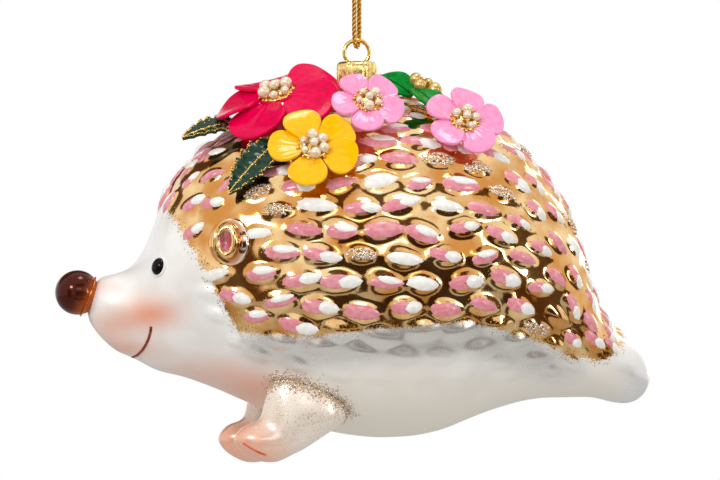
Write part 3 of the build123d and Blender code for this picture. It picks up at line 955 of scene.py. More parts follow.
    def lay_quill(self, along: float, turn: float, side: int, low: float,
                  covers: list[Cover], ear: Vector, slim: bool, chance: random.Random) -> None:
        """Lay one quill, if its place is free.

        Args:
            along: Its place as a share of the length.
            turn: Its turn from the crown, in degrees.
            side: Which side, -1 or 1.
            low: The height of the lowest moulded quills there.
            covers: Lines along which the quills stay low.
            ear: The middle of the ear on that side.
            slim: Whether it lies between two rows where the body is slim.
            chance: The source of its paint.
        """
        point = self.skin(along, turn, side)
        ear_gap = (point - ear).length
        if ear_gap < self.ear_clear:
            return
        stray = Vector([chance.gauss(0, 0.38) for _ in range(3)]) * MM
        place, normal, _, _ = self.glass.find_nearest(point + stray)
        inside = self.depth_at(place)
        size = 0.5 + self.section(along)[1] / self.width
        rise = self.quill_rise
        paint = Paint.BARE
        if point.z <= low:
            if slim or not self.fur_span[0] < place.x < self.fur_span[1] or inside < -self.fur_depth:
                return
            rise = 1.0 * MM * (1 + inside / 16) if inside < 2 else self.quill_rise
        elif slim or ear_gap < self.ear_near or any(gap_to(point, *line) <= reach for *line, reach in covers):
            rise = self.low_rise
        if inside > 0.8 and place.xy.length > self.neck_clear:
            paint = Paint.pick(chance)
        back = self.skin(along + self.pitch_share / 2, turn, side) - point
        back = Matrix.Rotation(math.radians(chance.gauss(0, 8)), 3, normal) @ back
        size *= chance.uniform(0.88, 1.12)
        self.quills.append(Quill(place, back, normal, size * self.quill_length, size * self.quill_width, rise, paint))

    def raise_quills(self, points: np.ndarray, normals: np.ndarray) -> np.ndarray:
        """Move the glass out under each quill.

        Args:
            points: The mesh's points.
            normals: Their normals.

        Returns:
            The moved points.
        """
        rise = np.zeros(len(points))
        for quill in self.quills:
            turn = np.array(quill.frame().inverted())
            near = np.abs(points - np.array(quill.place)).max(axis=1) < self.quill_reach
            local = points[near] @ turn[:3, :3].T + turn[:3, 3]
            run = local[:, 0] / (0.60 * quill.length) - 0.05
            off = local[:, 1] / (0.64 * quill.width) * (1.0 + 0.2 * run)
            lens = np.clip(1 - run**2 - off**2, 0, 1) ** 1.75
            rise[near] = np.maximum(rise[near], lens * quill.rise)
        inside = np.clip(self.inside_coat(points[:, 0], points[:, 2]) / 3, 0.15, 1)
        return points + normals * (rise + self.ripples(points) * inside)[:, None]

    def ripples(self, points: np.ndarray) -> np.ndarray:
        """The slow waves of blown glass at each point, in metres.

        Args:
            points: The mesh's points.

        Returns:
            A height for each point.
        """
        chance = np.random.default_rng(4)
        waves = np.zeros(len(points))
        for _ in range(self.waves):
            way = chance.normal(size=3)
            way *= math.tau / (chance.uniform(*self.wave_lengths) * MM * np.linalg.norm(way))
            waves += np.sin(points @ way + chance.uniform(0, math.tau))
        return self.wave_height * waves

    def zones(self, points: np.ndarray) -> dict[str, np.ndarray]:
        """The painted zones at each point of the mesh.

        Args:
            points: The mesh's points.

        Returns:
            Zone names with a strength of 0 to 1 for each point.
        """
        x, z = points[:, 0] / MM, points[:, 2] / MM
        inside = self.inside_coat(points[:, 0], points[:, 2])
        blush = sum(share * np.exp(-(((x - middle_x) / half_x) ** 2) - ((z - middle_z) / half_z) ** 2)
                    for share, middle_x, middle_z, half_x, half_z in self.blush_spots)
        band = np.exp(-(((inside + 3.5) / 4.6) ** 2)) * np.clip((x + 32) / 8, 0, 1) * np.clip((54 - x) / 14, 0, 1)
        shine = np.clip((x - 57.5 - 0.25 * (z + 95)) / 6.0, 0, 1)
        return {"coat": np.clip(0.5 + inside / 8, 0, 1), "blush": np.clip(blush, 0, 1), "band": band, "shine": shine}

    def finish(self) -> bpy.types.Material:
        """Gold lacquer over silvered glass, fading to satin pearl, with peach blush and a silver rump.

        Returns:
            The new material.
        """
        shader = Shader("lacquered_glass")
        fine, broad = shader.noise(0.34 * MM, 3.0), shader.noise(8.0 * MM, 2.0)
        patch = shader.noise(2.6 * MM, 2.0)
        z = shader.xyz()[2]
        coat = (shader.attribute("coat") + 0.3 * (fine - 0.5) + 0.2 * (patch - 0.5)).step(0.44, 0.53)
        blush, band, shine = (shader.attribute(name) for name in ("blush", "band", "shine"))
        pearl = shader.mix(broad.step(0.3, 0.7), srgb(250, 247, 243), srgb(242, 236, 229))
        pearl = shader.mix((-1 * z).step(88.0, 108.0), pearl, srgb(240, 230, 214))
        pearl = shader.mix(blush * (0.75 + 0.3 * fine), pearl, srgb(240, 152, 112))
        silver = (band * (0.8 + 0.4 * patch)).step(0.0, 0.95)
        pearl = shader.mix(silver, pearl, srgb(220, 215, 209))
        pearl = shader.mix(shine, pearl, srgb(232, 229, 225))
        gold = shader.mix(broad.step(0.35, 0.7), srgb(212, 144, 68), srgb(249, 214, 154))
        gold = shader.mix(patch.step(0.55, 0.85) * 0.5, gold, srgb(204, 122, 42))
        gold = shader.mix(fine.step(0.6, 0.8) * 0.35, gold, srgb(184, 112, 36))
        shader.set(Base_Color=shader.mix(coat, pearl, gold))
        plain = 0.12 + 0.6 * silver + 0.2 * shine
        shader.set(Metallic=plain + coat * (1 - plain))
        soft = 0.36 - 0.1 * silver - 0.1 * shine + 0.08 * (fine - 0.5)
        shader.set(Roughness=soft + coat * (0.07 + 0.05 * fine - soft), Coat_Weight=0.3 + 0.3 * shine)
        shader.set(Coat_Roughness=0.06)
        return shader.bump(0.7 * fine + 0.3 * patch, 0.03 * MM, 0.3).material

    def build(self) -> None:
        """Blow the body with its neck, raise its quills and paint its zones."""
        smooth = settled(self.cage(), [("SUBSURF", {"levels": 2, "render_levels": 2})])
        self.glass = surface_of(smooth)
        self.lay_quills()
        count = len(smooth.vertices)
        points, normals = np.empty(count * 3), np.empty(count * 3)
        smooth.vertices.foreach_get("co", points)
        smooth.vertices.foreach_get("normal", normals)
        raised = self.raise_quills(points.reshape(-1, 3), normals.reshape(-1, 3))
        smooth.vertices.foreach_set("co", raised.ravel())
        smooth.update()
        tint(smooth, self.zones(raised))
        self.glass = surface_of(smooth)
        stand("body_shell", smooth, self.finish(), ["glass_body"])
        self.neck()

    def neck(self) -> None:
        """The blown neck under the cap, open at the top."""
        foot = self.crown_z - 1.5 * MM
        profile = ((self.neck_radius + 0.9 * MM, foot), (self.neck_radius + 0.1 * MM, foot + 1.8 * MM),
                   (self.neck_radius, foot + 3 * MM), (self.neck_radius, self.neck_top - 0.3 * MM),
                   (self.neck_radius - 0.4 * MM, self.neck_top), (self.neck_bore, self.neck_top - 0.3 * MM),
                   (self.neck_bore, foot))
        finish = Plating("neck_silvering", srgb(240, 226, 200), srgb(222, 190, 136), 0.14, 2.0 * MM)
        stand("blown_neck", as_mesh(spun(profile, 48, True)), finish.material())

    def dab(self, shape: bmesh.types.BMesh, quill: Quill, shift: Pair, size: Pair,
            rise: float, chance: random.Random) -> None:
        """Lay one brush dab of enamel on a quill, blunt in front and pointed behind.

        Args:
            shape: The bmesh that takes it.
            quill: The quill it lies on.
            shift: How far back along the quill and across it the dab sits.
            size: Its half length and half width.
            rise: How thick it is.
            chance: The source of its ragged edge.
        """
        dab = bmesh.new()
        rim = bmesh.ops.create_circle(dab, cap_ends=True, segments=20, radius=1.0)["verts"]
        faces = list(dab.faces)
        for thick, depth in self.dab_steps:
            bmesh.ops.inset_region(dab, faces=faces, thickness=thick, depth=depth, use_boundary=True)
        frame_of = quill.frame() @ Matrix.Rotation(math.radians(chance.gauss(0, 4)), 4, "Z")
        up = frame_of.to_3x3() @ Vector((0, 0, 1))
        ragged = {vert: 1.0 + chance.uniform(-0.11, 0.08) for vert in rim}
        for vert in dab.verts:
            edge = ragged.get(vert, 1.0)
            x, y = vert.co.x * edge, vert.co.y * edge
            off = shift[1] + y * size[1] * (1.0 - 0.26 * x * abs(x))
            height = rise * min(1.0, max(0.0, vert.co.z)) - 0.06 * MM * (vert in ragged)
            above = frame_of @ Vector((shift[0] + x * size[0], off, RAY_RISE))
            hit, _ = self.seat(above, -up)
            vert.co = (hit if hit is not None else above - up * RAY_RISE) + up * height
        gather(shape, dab)

    def paint_quills(self) -> None:
        """Paint the quills with pink and white dabs, glitter and gold outlines."""
        chance = random.Random(11)
        pink, white, silver, gold = (bmesh.new() for _ in range(4))
        for quill in self.quills:
            half = 0.48 * quill.length * chance.uniform(0.92, 1.12)
            wide = 0.36 * quill.width * chance.uniform(0.88, 1.15)
            drop = chance.choice((-0.18, 0.0, 0.12)) * wide
            for stroke in STROKES.get(quill.paint, ()):
                shift = (stroke.back * half, drop if stroke.aside is None else stroke.aside * wide)
                size = (stroke.long * half, stroke.broad * wide)
                self.dab(white if stroke.white else pink, quill, shift, size, stroke.thick * MM, chance)
            if quill.paint is Paint.GLITTER:
                places = self.flake_places(quill, self.patch_flakes, 1.0, 0.0, chance)
                scatter_flakes(silver, places, self.patch_flake, chance)
            elif quill.paint is not Paint.BARE and chance.random() < self.outlined:
                places = self.flake_places(quill, self.outline_flakes, 1.12, 0.94, chance)
                scatter_flakes(gold, places, self.outline_flake, chance)
        self.edge_glitter(gold, chance)
        for name, shape, finish, turn_out in (
            ("pink_dabs", pink, DAB_PINK, False), ("white_dabs", white, DAB_WHITE, False),
            ("silver_glitter", silver, SILVER_GLITTER, True), ("gold_glitter", gold, GOLD_GLITTER, True),
        ):
            stand(name, as_mesh(shape, turn_out), finish.material())

    def flake_places(self, quill: Quill, count: int, outer: float, inner: float,
                     chance: random.Random) -> list[Seat]:
        """Places for glitter on or round a quill.

        Args:
            quill: The quill.
            count: How many flakes.
            outer: The outer reach, as a share of the quill.
            inner: The inner reach, as a share of the quill.
            chance: The source of their places.

        Returns:
            A point and a normal each.
        """
        frame_of = quill.frame()
        up = frame_of.to_3x3() @ Vector((0, 0, 1))
        places = []
        for _ in range(count):
            turn = chance.uniform(0, math.tau)
            reach = math.sqrt(chance.uniform(inner**2, outer**2))
            run, off = reach * math.cos(turn) * 0.46 * quill.length, reach * math.sin(turn) * 0.36 * quill.width
            hit, normal = self.seat(frame_of @ Vector((run, off, RAY_RISE)), -up)
            if hit is not None:
                places.append((hit, normal))
        return places

    def edge_glitter(self, shape: bmesh.types.BMesh, chance: random.Random) -> None:
        """Glitter along the lower edge of the gold coat.

        Args:
            shape: The bmesh that takes it.
            chance: The source of its places.
        """
        edge = self.coat_edge[1:15]
        places = []
        for (ax, az), (bx, bz) in zip(edge, edge[1:]):
            run = math.hypot(bx - ax, bz - az)
            for _ in range(int(run * self.edge_flakes)):
                share = chance.random()
                x = ax + share * (bx - ax) + chance.gauss(0, 0.8)
                z = az + share * (bz - az) + chance.gauss(0.4, 1.0)
                for side in SIDES:
                    hit, normal = self.side_seat(x, z, side)
                    if hit is not None:
                        places.append((hit, normal))
        scatter_flakes(shape, places, self.edge_flake, chance)


@dataclass
class Face:
    """Nose, eyes, ears and mouth."""

    body: BlownBody
    nose_middle: Vector = field(default_factory=lambda: mm(-64.2, 0, -77.85))
    nose_radius: float = 5.1 * MM
    eye_place: Pair = (-46.8, -71.9)
    eye_half: Pair = (1.9 * MM, 1.95 * MM)
    eye_rise: float = 1.3 * MM
    rim_radius: float = 0.3 * MM
    ear_radius: float = 5.3 * MM
    seam_middle: tuple[float, float, float] = (-61.8, 0, -78.78)
    seam_half: Pair = (4.5 * MM, 4.75 * MM)
    seam_radius: float = 0.16 * MM
    smile_radius: float = 0.33 * MM
    smile: tuple[Pair, ...] = (
        (-48.4, -85.4), (-48.5, -86.6), (-48.8, -88.0), (-49.3, -89.4), (-50.0, -90.8), (-50.9, -92.0), (-51.7, -92.5),
    )

    def nose(self) -> None:
        """The nose ball in brown lacquer, amber where it meets the snout, with a gold seam."""
        shape = bmesh.new()
        bmesh.ops.create_uvsphere(shape, u_segments=48, v_segments=32, radius=self.nose_radius,
                                  matrix=Matrix.Translation(self.nose_middle))
        shader = Shader("nose_lacquer_brown")
        x, _, z = shader.xyz()
        start = (0.5 * self.nose_middle.z - self.nose_middle.x) / MM
        amber = (x - 0.5 * z + start + 2.2 * (shader.noise(3 * MM) - 0.5)).step(-0.5, 4.6)
        color = shader.mix(amber, srgb(74, 27, 14), srgb(196, 94, 34))
        shader.set(Base_Color=color, Roughness=0.07 + 0.05 * shader.noise(1.2 * MM), Metallic=0.35)
        shader.set(Specular_IOR_Level=0.2)
        stand("nose_ball", as_mesh(shape), shader.material, ["nose_bead"])
        seam = oval(snout_frame(mm(*self.seam_middle)), *self.seam_half, 64)
        finish = Plating("seam_gold", srgb(226, 150, 72), srgb(160, 82, 30), 0.24)
        stand("nose_seam", tubes([seam], self.seam_radius, True), finish.material())

    def eye(self, side: int, node: str) -> None:
        """One glossy eye in its pale rim.

        Args:
            side: Which side, -1 or 1.
            node: The CAD node it replaces.
        """
        place, normal = self.body.side_seat(*self.eye_place, side)
        frame_of = axes(place, Vector((0.36, 0, 0.93)), normal)
        shape = bmesh.new()
        size = Matrix.Diagonal((self.eye_half[1], self.eye_half[0], self.eye_rise, 1))
        bmesh.ops.create_uvsphere(shape, u_segments=32, v_segments=20, radius=1.0, matrix=frame_of @ size)
        shader = Shader(f"eye_enamel_{node}")
        shader.set(Base_Color=shader.mix(shader.noise(0.8 * MM).step(0.4, 0.8), srgb(4, 3, 3), srgb(14, 12, 12)))
        shader.set(Roughness=0.06 + 0.04 * shader.noise(0.5 * MM), Specular_IOR_Level=0.15)
        stand(f"{node}_bead", as_mesh(shape), shader.material, [node])
        rim = oval(frame_of, 1.12 * self.eye_half[1], 1.14 * self.eye_half[0], 40)
        finish = Enamel(f"{node}_rim_pearl", srgb(248, 244, 239), srgb(238, 230, 222), 0.3)
        stand(f"{node}_rim", tubes([rim], self.rim_radius, True), finish.material())

    def ear(self, side: int, name: str) -> None:
        """One ear, a shell curled in ridges round a pink hollow that looks forward.

        Args:
            side: Which side, -1 or 1.
            name: The piece's name.
        """
        place, normal = self.body.side_seat(*EAR_PLACE, side)
        look = Vector((-0.50, side * 0.86, 0.06)).normalized()
        across = Vector((0, 0, 1)).cross(look).normalized() * side
        up = look.cross(across) * side
        shape = bmesh.new()
        bmesh.ops.create_uvsphere(shape, u_segments=80, v_segments=56, radius=1.0)

        def ridge(at: float, middle: float, wide: float) -> float:
            """A rounded ridge at one distance from the hollow."""
            return math.exp(-(((at - middle) / wide) ** 2))

        tints: dict[str, list[float]] = {"hollow": [], "silver": [], "copper": []}
        for vert in shape.verts:
            way = vert.co.normalized()
            aside, rise, out = way.dot(across), way.dot(up), way.dot(look)
            spread = math.acos(max(-1.0, min(1.0, out)))
            reach = max(1e-6, math.hypot(aside, rise))
            behind, high = -spread * aside / reach, 0.62 * spread * rise / reach
            at = spread
            for _ in range(12):
                at = 0.5 * at + 0.5 * math.hypot(behind - 0.4 * at, high)
            dip = max(0.0, 1 - (at / 0.34) ** 2)
            curl = 0.07 * ridge(at, 0.42, 0.1) - 0.1 * ridge(at, 0.6, 0.09) + 0.05 * ridge(at, 0.82, 0.14)
            curl -= 0.1 * ridge(at, 1.08, 0.1)
            vert.co = way * self.ear_radius * (0.98 - 0.36 * dip + curl)
            vert.co.z *= 1.04
            tints["hollow"].append(min(1.0, 2.2 * dip))
            tints["silver"].append(ridge(at, 0.82, 0.15) * max(0.0, min(1.0, 0.3 + 1.2 * behind)))
            tints["copper"].append(max(ridge(at, 0.6, 0.1), ridge(at, 1.08, 0.12)))
        mesh = as_mesh(shape)
        mesh.transform(Matrix.Translation(place - normal * 0.28 * self.ear_radius))
        tint(mesh, tints)
        shader = Shader(f"{name}_lacquer")
        fine = shader.noise(0.5 * MM, 3.0)
        hollow, silver, copper = (shader.attribute(key) for key in tints)
        color = shader.mix(shader.noise(4 * MM).step(0.35, 0.65), srgb(232, 164, 80), srgb(246, 206, 136))
        color = shader.mix(silver, color, srgb(240, 236, 230))
        color = shader.mix(copper * 0.8, color, srgb(186, 98, 40))
        pink = shader.mix(fine.step(0.4, 0.7), srgb(206, 124, 128), srgb(176, 92, 98))
        shader.set(Base_Color=shader.mix((hollow + 0.2 * (fine - 0.5)).step(0.3, 0.55), color, pink))
        shader.set(Metallic=1 - 0.75 * hollow, Roughness=0.1 + 0.14 * hollow, Coat_Weight=0.4)
        stand(name, mesh, shader.material)

    def mouth(self) -> None:
        """The copper line of the smile, on both sides."""
        lines = []
        for side in SIDES:
            points = [self.body.side_seat(x, z, side)[0] for x, z in self.smile]
            lines.append([point for point in points if point is not None])
        finish = Plating("smile_copper", srgb(176, 88, 42), srgb(116, 44, 18), 0.3)
        stand("smile_line", tubes(lines, self.smile_radius), finish.material())

    def build(self) -> None:
        """Make the whole face."""
        self.nose()
        for side, name in zip(SIDES, ("left", "right")):
            self.eye(side, f"{name}_eye")
            self.ear(side, f"{name}_ear")
        self.mouth()


@dataclass
class Legs:
    """The two front legs, glued on under a collar of glitter."""

    body: BlownBody
    voxel: float = 0.45 * MM
    collar_gap: float = 0.3 * MM
    collar_spread: float = 1.5 * MM
    collar_span: Pair = (-0.2 * MM, 4.2 * MM)
    collar_fade: float = 2.1 * MM
    flake_lift: float = 0.06 * MM
    flake_size: float = 0.5 * MM
    crease_radius: float = 0.24 * MM
    toes: tuple[Pair, ...] = (
        (-28.4, -111.4), (-27.5, -112.0), (-26.6, -112.6), (-25.6, -113.1), (-24.6, -113.6), (-23.4, -114.0),
    )

    def finish(self) -> bpy.types.Material:
        """Pearl glass that turns peach towards the paw, with fine glitter at the shoulder.

        Returns:
            The new material.
        """
        shader = Shader("pearl_leg")
        x, _, z = shader.xyz()
        fine = shader.noise(0.3 * MM, 2.0)
        drift = 3.0 * (shader.noise(4 * MM) - 0.5)
        paw = (-0.8 * x - 0.6 * z - 80.0 + drift).step(-2.0, 10.0)
        spot, color = shader.flakes(0.34 * MM)
        sparkle = shader.channel(color, "Green").step(0.45, 0.8) * (1 - spot.step(0.25, 0.6)) * (1 - 0.6 * paw)
        sparkle = sparkle * (z + 108.0 + drift).step(-7.0, 6.0)
        pearl = shader.mix(paw * 0.9, srgb(243, 228, 213), srgb(244, 172, 138))
        shader.set(Base_Color=shader.mix(sparkle * 0.7, pearl, srgb(226, 192, 140)), Metallic=0.15 + 0.5 * sparkle)
        shader.set(Roughness=0.28 - 0.08 * sparkle + 0.1 * (fine - 0.5), Coat_Weight=1.0, Coat_Roughness=0.24)
        return shader.bump(sparkle + 0.4 * fine, 0.05 * MM, 0.4).material

    def leg(self, node: str) -> None:
        """One leg, rounded from its CAD solid, with its collar of glitter.

        Args:
            node: The CAD node.
        """
        shape = bmesh.new()
        shape.from_mesh(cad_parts[node].data)
        bmesh.ops.remove_doubles(shape, verts=shape.verts, dist=WELD)
        mesh = settled(as_mesh(shape, False), [
            ("REMESH", {"mode": "VOXEL", "voxel_size": self.voxel}),
            ("SMOOTH", {"factor": 0.6, "iterations": 80}),
        ])
        chance = random.Random(3)
        middle = sum((vert.co for vert in mesh.vertices), Vector()) / len(mesh.vertices)
        places = self.collar_places(mesh, middle, chance)
        surface = surface_of(mesh)
        stand(f"{node}_shell", mesh, self.finish(), [node])
        sprinkle(f"{node}_collar", places, self.flake_size, chance, SILVER_GLITTER)
        self.toe_crease(node, surface, math.copysign(1, middle.y))

    def collar_places(self, mesh: bpy.types.Mesh, middle: Vector, chance: random.Random) -> list[Seat]:
        """Places for the glitter of the collar, on the leg and on the body round it.

        Args:
            mesh: The leg's mesh.
            middle: The middle of the leg.
            chance: The source of their places.

        Returns:
            A point and a normal each.
        """
        places = []
        for vert in mesh.vertices:
            near, out, _, _ = self.body.glass.find_nearest(vert.co)
            reach = (vert.co - near).dot(out)
            if abs(reach) < self.collar_gap:
                aside = (vert.co - middle).normalized() * abs(chance.gauss(0, self.collar_spread))
                near, out, _, _ = self.body.glass.find_nearest(vert.co + aside)
                places.append((near + out * self.flake_lift, out))
            thick = 0.9 * math.exp(-((reach / self.collar_fade) ** 2))
            if self.collar_span[0] < reach < self.collar_span[1] and chance.random() < thick:
                places.append((vert.co + vert.normal * self.flake_lift, vert.normal.copy()))
        return places

    def toe_crease(self, node: str, surface: BVHTree, side: float) -> None:
        """The orange line between the toes.

        Args:
            node: The CAD node of the leg.
            surface: The leg's surface.
            side: The side of the body the leg is on, -1 or 1.
        """
        line = []
        for x, z in self.toes:
            hit, _, _, _ = surface.ray_cast(mm(x, side * 60, z), Vector((0, -side, 0)))
            if hit is not None:
                line.append(hit)
        if len(line) > 1:
            finish = Enamel(f"{node}_crease", srgb(206, 92, 52), srgb(224, 124, 84))
            stand(f"{node}_toe", tubes([line], self.crease_radius), finish.material())

    def build(self) -> None:
        """Make both legs."""
        for node in ("left_front_leg", "right_front_leg"):
            self.leg(node)


@dataclass
class Flower:
    """One enamelled flower with its setting and its pearls."""

    name: str
    diameter: float
    pearl: float
    pearls: int
    turns: tuple[float, ...]
    side_lean: float
    front_lean: float
    place: tuple[float, float, float]
    finish: Enamel
    slot: str
    lifts: tuple[float, ...] = (7.0, 7.0, 7.0, 7.0, 7.0)
    petal_wide: float = 0.54
    sheet: float = 0.9 * MM
    beads: int = 18
    crystals: int = 7
    setting_share: float = 1.5
    setting_depth: float = 0.6 * MM
    setting_height: float = 0.8 * MM
    pearl_height: float = 0.9 * MM
    pearl_sizes: tuple[float, ...] = (0.72, 0.9, 0.98, 1.06)

    def frame(self) -> Matrix:
        """The flower's frame, with Z out of its face.

        Returns:
            The frame as a matrix.
        """
        side, front = math.radians(self.side_lean), math.radians(self.front_lean)
        normal = Vector((math.sin(side), -math.sin(front) * math.cos(side), math.cos(front) * math.cos(side)))
        return axes(mm(*self.place), Vector((0, 1, 0)).cross(normal), normal)

    def petal(self, shape: bmesh.types.BMesh, turn: float, lift: float) -> None:
        """One broad petal, cupped, veined and rolled at its edge.

        Args:
            shape: The bmesh that takes it.
            turn: Its direction round the flower, in degrees.
            lift: How steeply it rises, in degrees.
        """
        made = bmesh.ops.create_grid(shape, x_segments=20, y_segments=20, size=1.0)
        start = 0.10 * self.diameter
        reach = 0.5 * self.diameter - start
        half = 0.5 * self.petal_wide * self.diameter
        place = Matrix.Rotation(math.radians(turn), 4, "Z") @ Matrix.Rotation(math.radians(8), 4, "X")
        for vert in made["verts"]:
            gx, gy = vert.co.x, vert.co.y
            dx, dy = gx * math.sqrt(1 - gy * gy / 2), gy * math.sqrt(1 - gx * gx / 2)
            along = (dx + 1) / 2
            wide = 0.46 + 0.62 * along**0.8 - 0.12 * along**3
            fan = dy * wide / (along + 0.25)
            vein = max(0.0, math.cos(fan * 17.0)) ** 3 * 4 * along * max(0.0, 0.85 - along)
            rise = math.tan(math.radians(lift)) * along * reach
            rise += half * (0.08 * dy * dy - 0.16 * along**4) - 0.006 * self.diameter * vein
            vert.co = place @ Vector((start + reach * along, dy * half * wide, rise))

    def build(self) -> None:
        """Make the flower and all that it carries."""
        frame_of = self.frame()
        chance = random.Random(self.name)
        petals = bmesh.new()
        for turn, lift in zip(self.turns, self.lifts):
            self.petal(petals, turn, lift)
        bmesh.ops.create_circle(petals, cap_ends=True, segments=24, radius=0.17 * self.diameter,
                                matrix=Matrix.Translation((0, 0, 0.25 * self.sheet)))
        mesh = sheet(petals, frame_of, self.sheet, 0.6)
        stand(f"{self.name}_petals", mesh, self.finish.material(), [f"{self.name}_flower"])
        self.setting(frame_of, chance)
        self.pearl_group(frame_of, chance)

    def setting(self, frame_of: Matrix, chance: random.Random) -> None:
        """The beaded gold setting and its small crystals.

        Args:
            frame_of: The flower's frame.
            chance: The source of small differences.
        """
        radius = self.setting_share * self.pearl
        shape = bmesh.new()
        bmesh.ops.create_cone(shape, cap_ends=True, segments=32, radius1=radius, radius2=0.8 * radius,
                              depth=self.setting_depth,
                              matrix=frame_of @ Matrix.Translation((0, 0, self.setting_height)))
        crystals = bmesh.new()
        for bead in range(self.beads):
            turn = math.tau * bead / self.beads
            reach = radius * (1.0 if bead % 2 else 0.93)
            place = polar(reach, turn, (0.85 + 0.25 * (bead % 2)) * MM)
            bmesh.ops.create_icosphere(shape, subdivisions=2, radius=chance.uniform(0.3, 0.46) * MM,
                                       matrix=frame_of @ Matrix.Translation(place))
            inner = Matrix.Translation((0.66 * place.x, 0.66 * place.y, chance.uniform(1.5, 2.3) * MM))
            bmesh.ops.create_icosphere(shape, subdivisions=2, radius=chance.uniform(0.24, 0.4) * MM,
                                       matrix=frame_of @ inner)
        for crystal in range(self.crystals):
            place = polar(0.62 * radius, math.tau * (crystal + 0.5) / self.crystals, 1.9 * MM)
            tilt = Matrix.Rotation(chance.uniform(-0.5, 0.5), 4, "X")
            bmesh.ops.create_cone(crystals, cap_ends=True, segments=8, radius1=0.55 * MM, radius2=0.28 * MM,
                                  depth=0.5 * MM, matrix=frame_of @ Matrix.Translation(place) @ tilt)
        stand(f"{self.name}_beads", as_mesh(shape), GOLD.material(), [f"{self.name}_setting"])
        piece = stand(f"{self.name}_crystals", as_mesh(crystals), SILVER_GLITTER.material())
        for polygon in piece.data.polygons:
            polygon.use_smooth = False

    def pearl_group(self, frame_of: Matrix, chance: random.Random) -> None:
        """The pearls, one in the middle and the rest round it.

        Args:
            frame_of: The flower's frame.
            chance: The source of small differences.
        """
        shape = bmesh.new()
        first = math.radians(self.turns[0])
        turns = [first + math.tau * pearl / self.pearls for pearl in range(self.pearls)]
        for index, place in enumerate([Vector()] + [polar(1.02 * self.pearl, turn) for turn in turns]):
            radius = 0.5 * self.pearl * (chance.choice(self.pearl_sizes) if index else 0.84)
            place.z = self.pearl_height + radius + (0.36 * self.pearl if index == 0 else 0.0)
            bmesh.ops.create_uvsphere(shape, u_segments=24, v_segments=16, radius=radius,
                                      matrix=frame_of @ Matrix.Translation(place))
        stand(f"{self.name}_pearl_group", as_mesh(shape), PEARL.material(), [f"{self.name}_pearls"])


@dataclass
class Leaf:
    """One enamelled leaf, serrated with gold veins or smooth and bright."""

    name: str
    node: str
    width: float
    roll: float
    base: tuple[float, float, float]
    tip: tuple[float, float, float]
    teeth: int = 0
    curl: float = 0.3
    finish: Enamel = LEAF_GREEN
    slot: str = "bright_leaf"
    thickness: float = 0.8 * MM
    flakes: int = 300
    flake_size: float = 0.42 * MM
    vein_radius: float = 0.16 * MM
    rib_radius: float = 0.2 * MM

    def frame(self) -> tuple[Matrix, float]:
        """The frame at the leaf's base with X to its tip, and its length.

        Returns:
            The frame as a matrix, and the length.
        """
        along = mm(*self.tip) - mm(*self.base)
        sideways = Vector((0, 0, 1)).cross(along)
        level = axes(mm(*self.base), along, along.cross(sideways))
        return level @ Matrix.Rotation(math.radians(self.roll), 4, "X"), along.length

    def point(self, length: float, run: float, off: float) -> Vector:
        """A point of the leaf's sheet.

        Args:
            length: The leaf's length.
            run: The share along it.
            off: The share across it, from -1 to 1.

        Returns:
            The point in the leaf's own frame.
        """
        half = 0.5 * self.width * math.sin(math.pi * run**0.8) ** 0.8 if 0 < run < 1 else 0.0
        if self.teeth:
            half *= 0.8 + 0.3 * (1 - (run * (self.teeth + 1)) % 1.0)
        rise = self.curl * half * off * off + 0.06 * length * math.sin(math.pi * run)
        if self.teeth:
            rise += 0.05 * half * math.cos(off * 3.0) * math.cos(run * (self.teeth + 1) * math.tau)
        return Vector((run * length, half * off, rise))

    def build(self) -> None:
        """Make the leaf and, where it is serrated, its gold edge and veins."""
        frame_of, length = self.frame()
        shape = bmesh.new()
        made = bmesh.ops.create_grid(shape, x_segments=56, y_segments=8, size=1.0)
        for vert in made["verts"]:
            vert.co = self.point(length, (vert.co.x + 1) / 2, vert.co.y)
        bmesh.ops.remove_doubles(shape, verts=shape.verts, dist=0.001 * MM)
        bmesh.ops.recalc_face_normals(shape, faces=shape.faces)
        mesh = sheet(shape, frame_of, self.thickness, 0.0)
        stand(f"{self.name}_sheet", mesh, self.finish.material(), [self.node])
        lift = mm(0, 0, 0.4)
        ribs = [[frame_of @ (self.point(length, step / 24, 0.0) + lift) for step in range(25)]]
        if self.teeth:
            stand(f"{self.name}_midrib", tubes(ribs, self.vein_radius), GOLD.material())
            chance = random.Random(self.name)
            up = frame_of.to_3x3() @ Vector((0, 0, 1))
            places = []
            for _ in range(self.flakes):
                run = chance.uniform(0.03, 0.99)
                off = chance.choice(SIDES) * (1 - min(0.9, abs(chance.gauss(0, 0.1))))
                off = chance.gauss(0, 0.1) if chance.random() < 0.18 else off
                places.append((frame_of @ (self.point(length, run, off) + lift), up))
            sprinkle(f"{self.name}_dust", places, self.flake_size, chance, GOLD)
        else:
            deep = Enamel(f"{self.name}_rib", srgb(4, 104, 36), srgb(2, 80, 28))
            stand(f"{self.name}_midrib", tubes(ribs, self.rib_radius), deep.material())


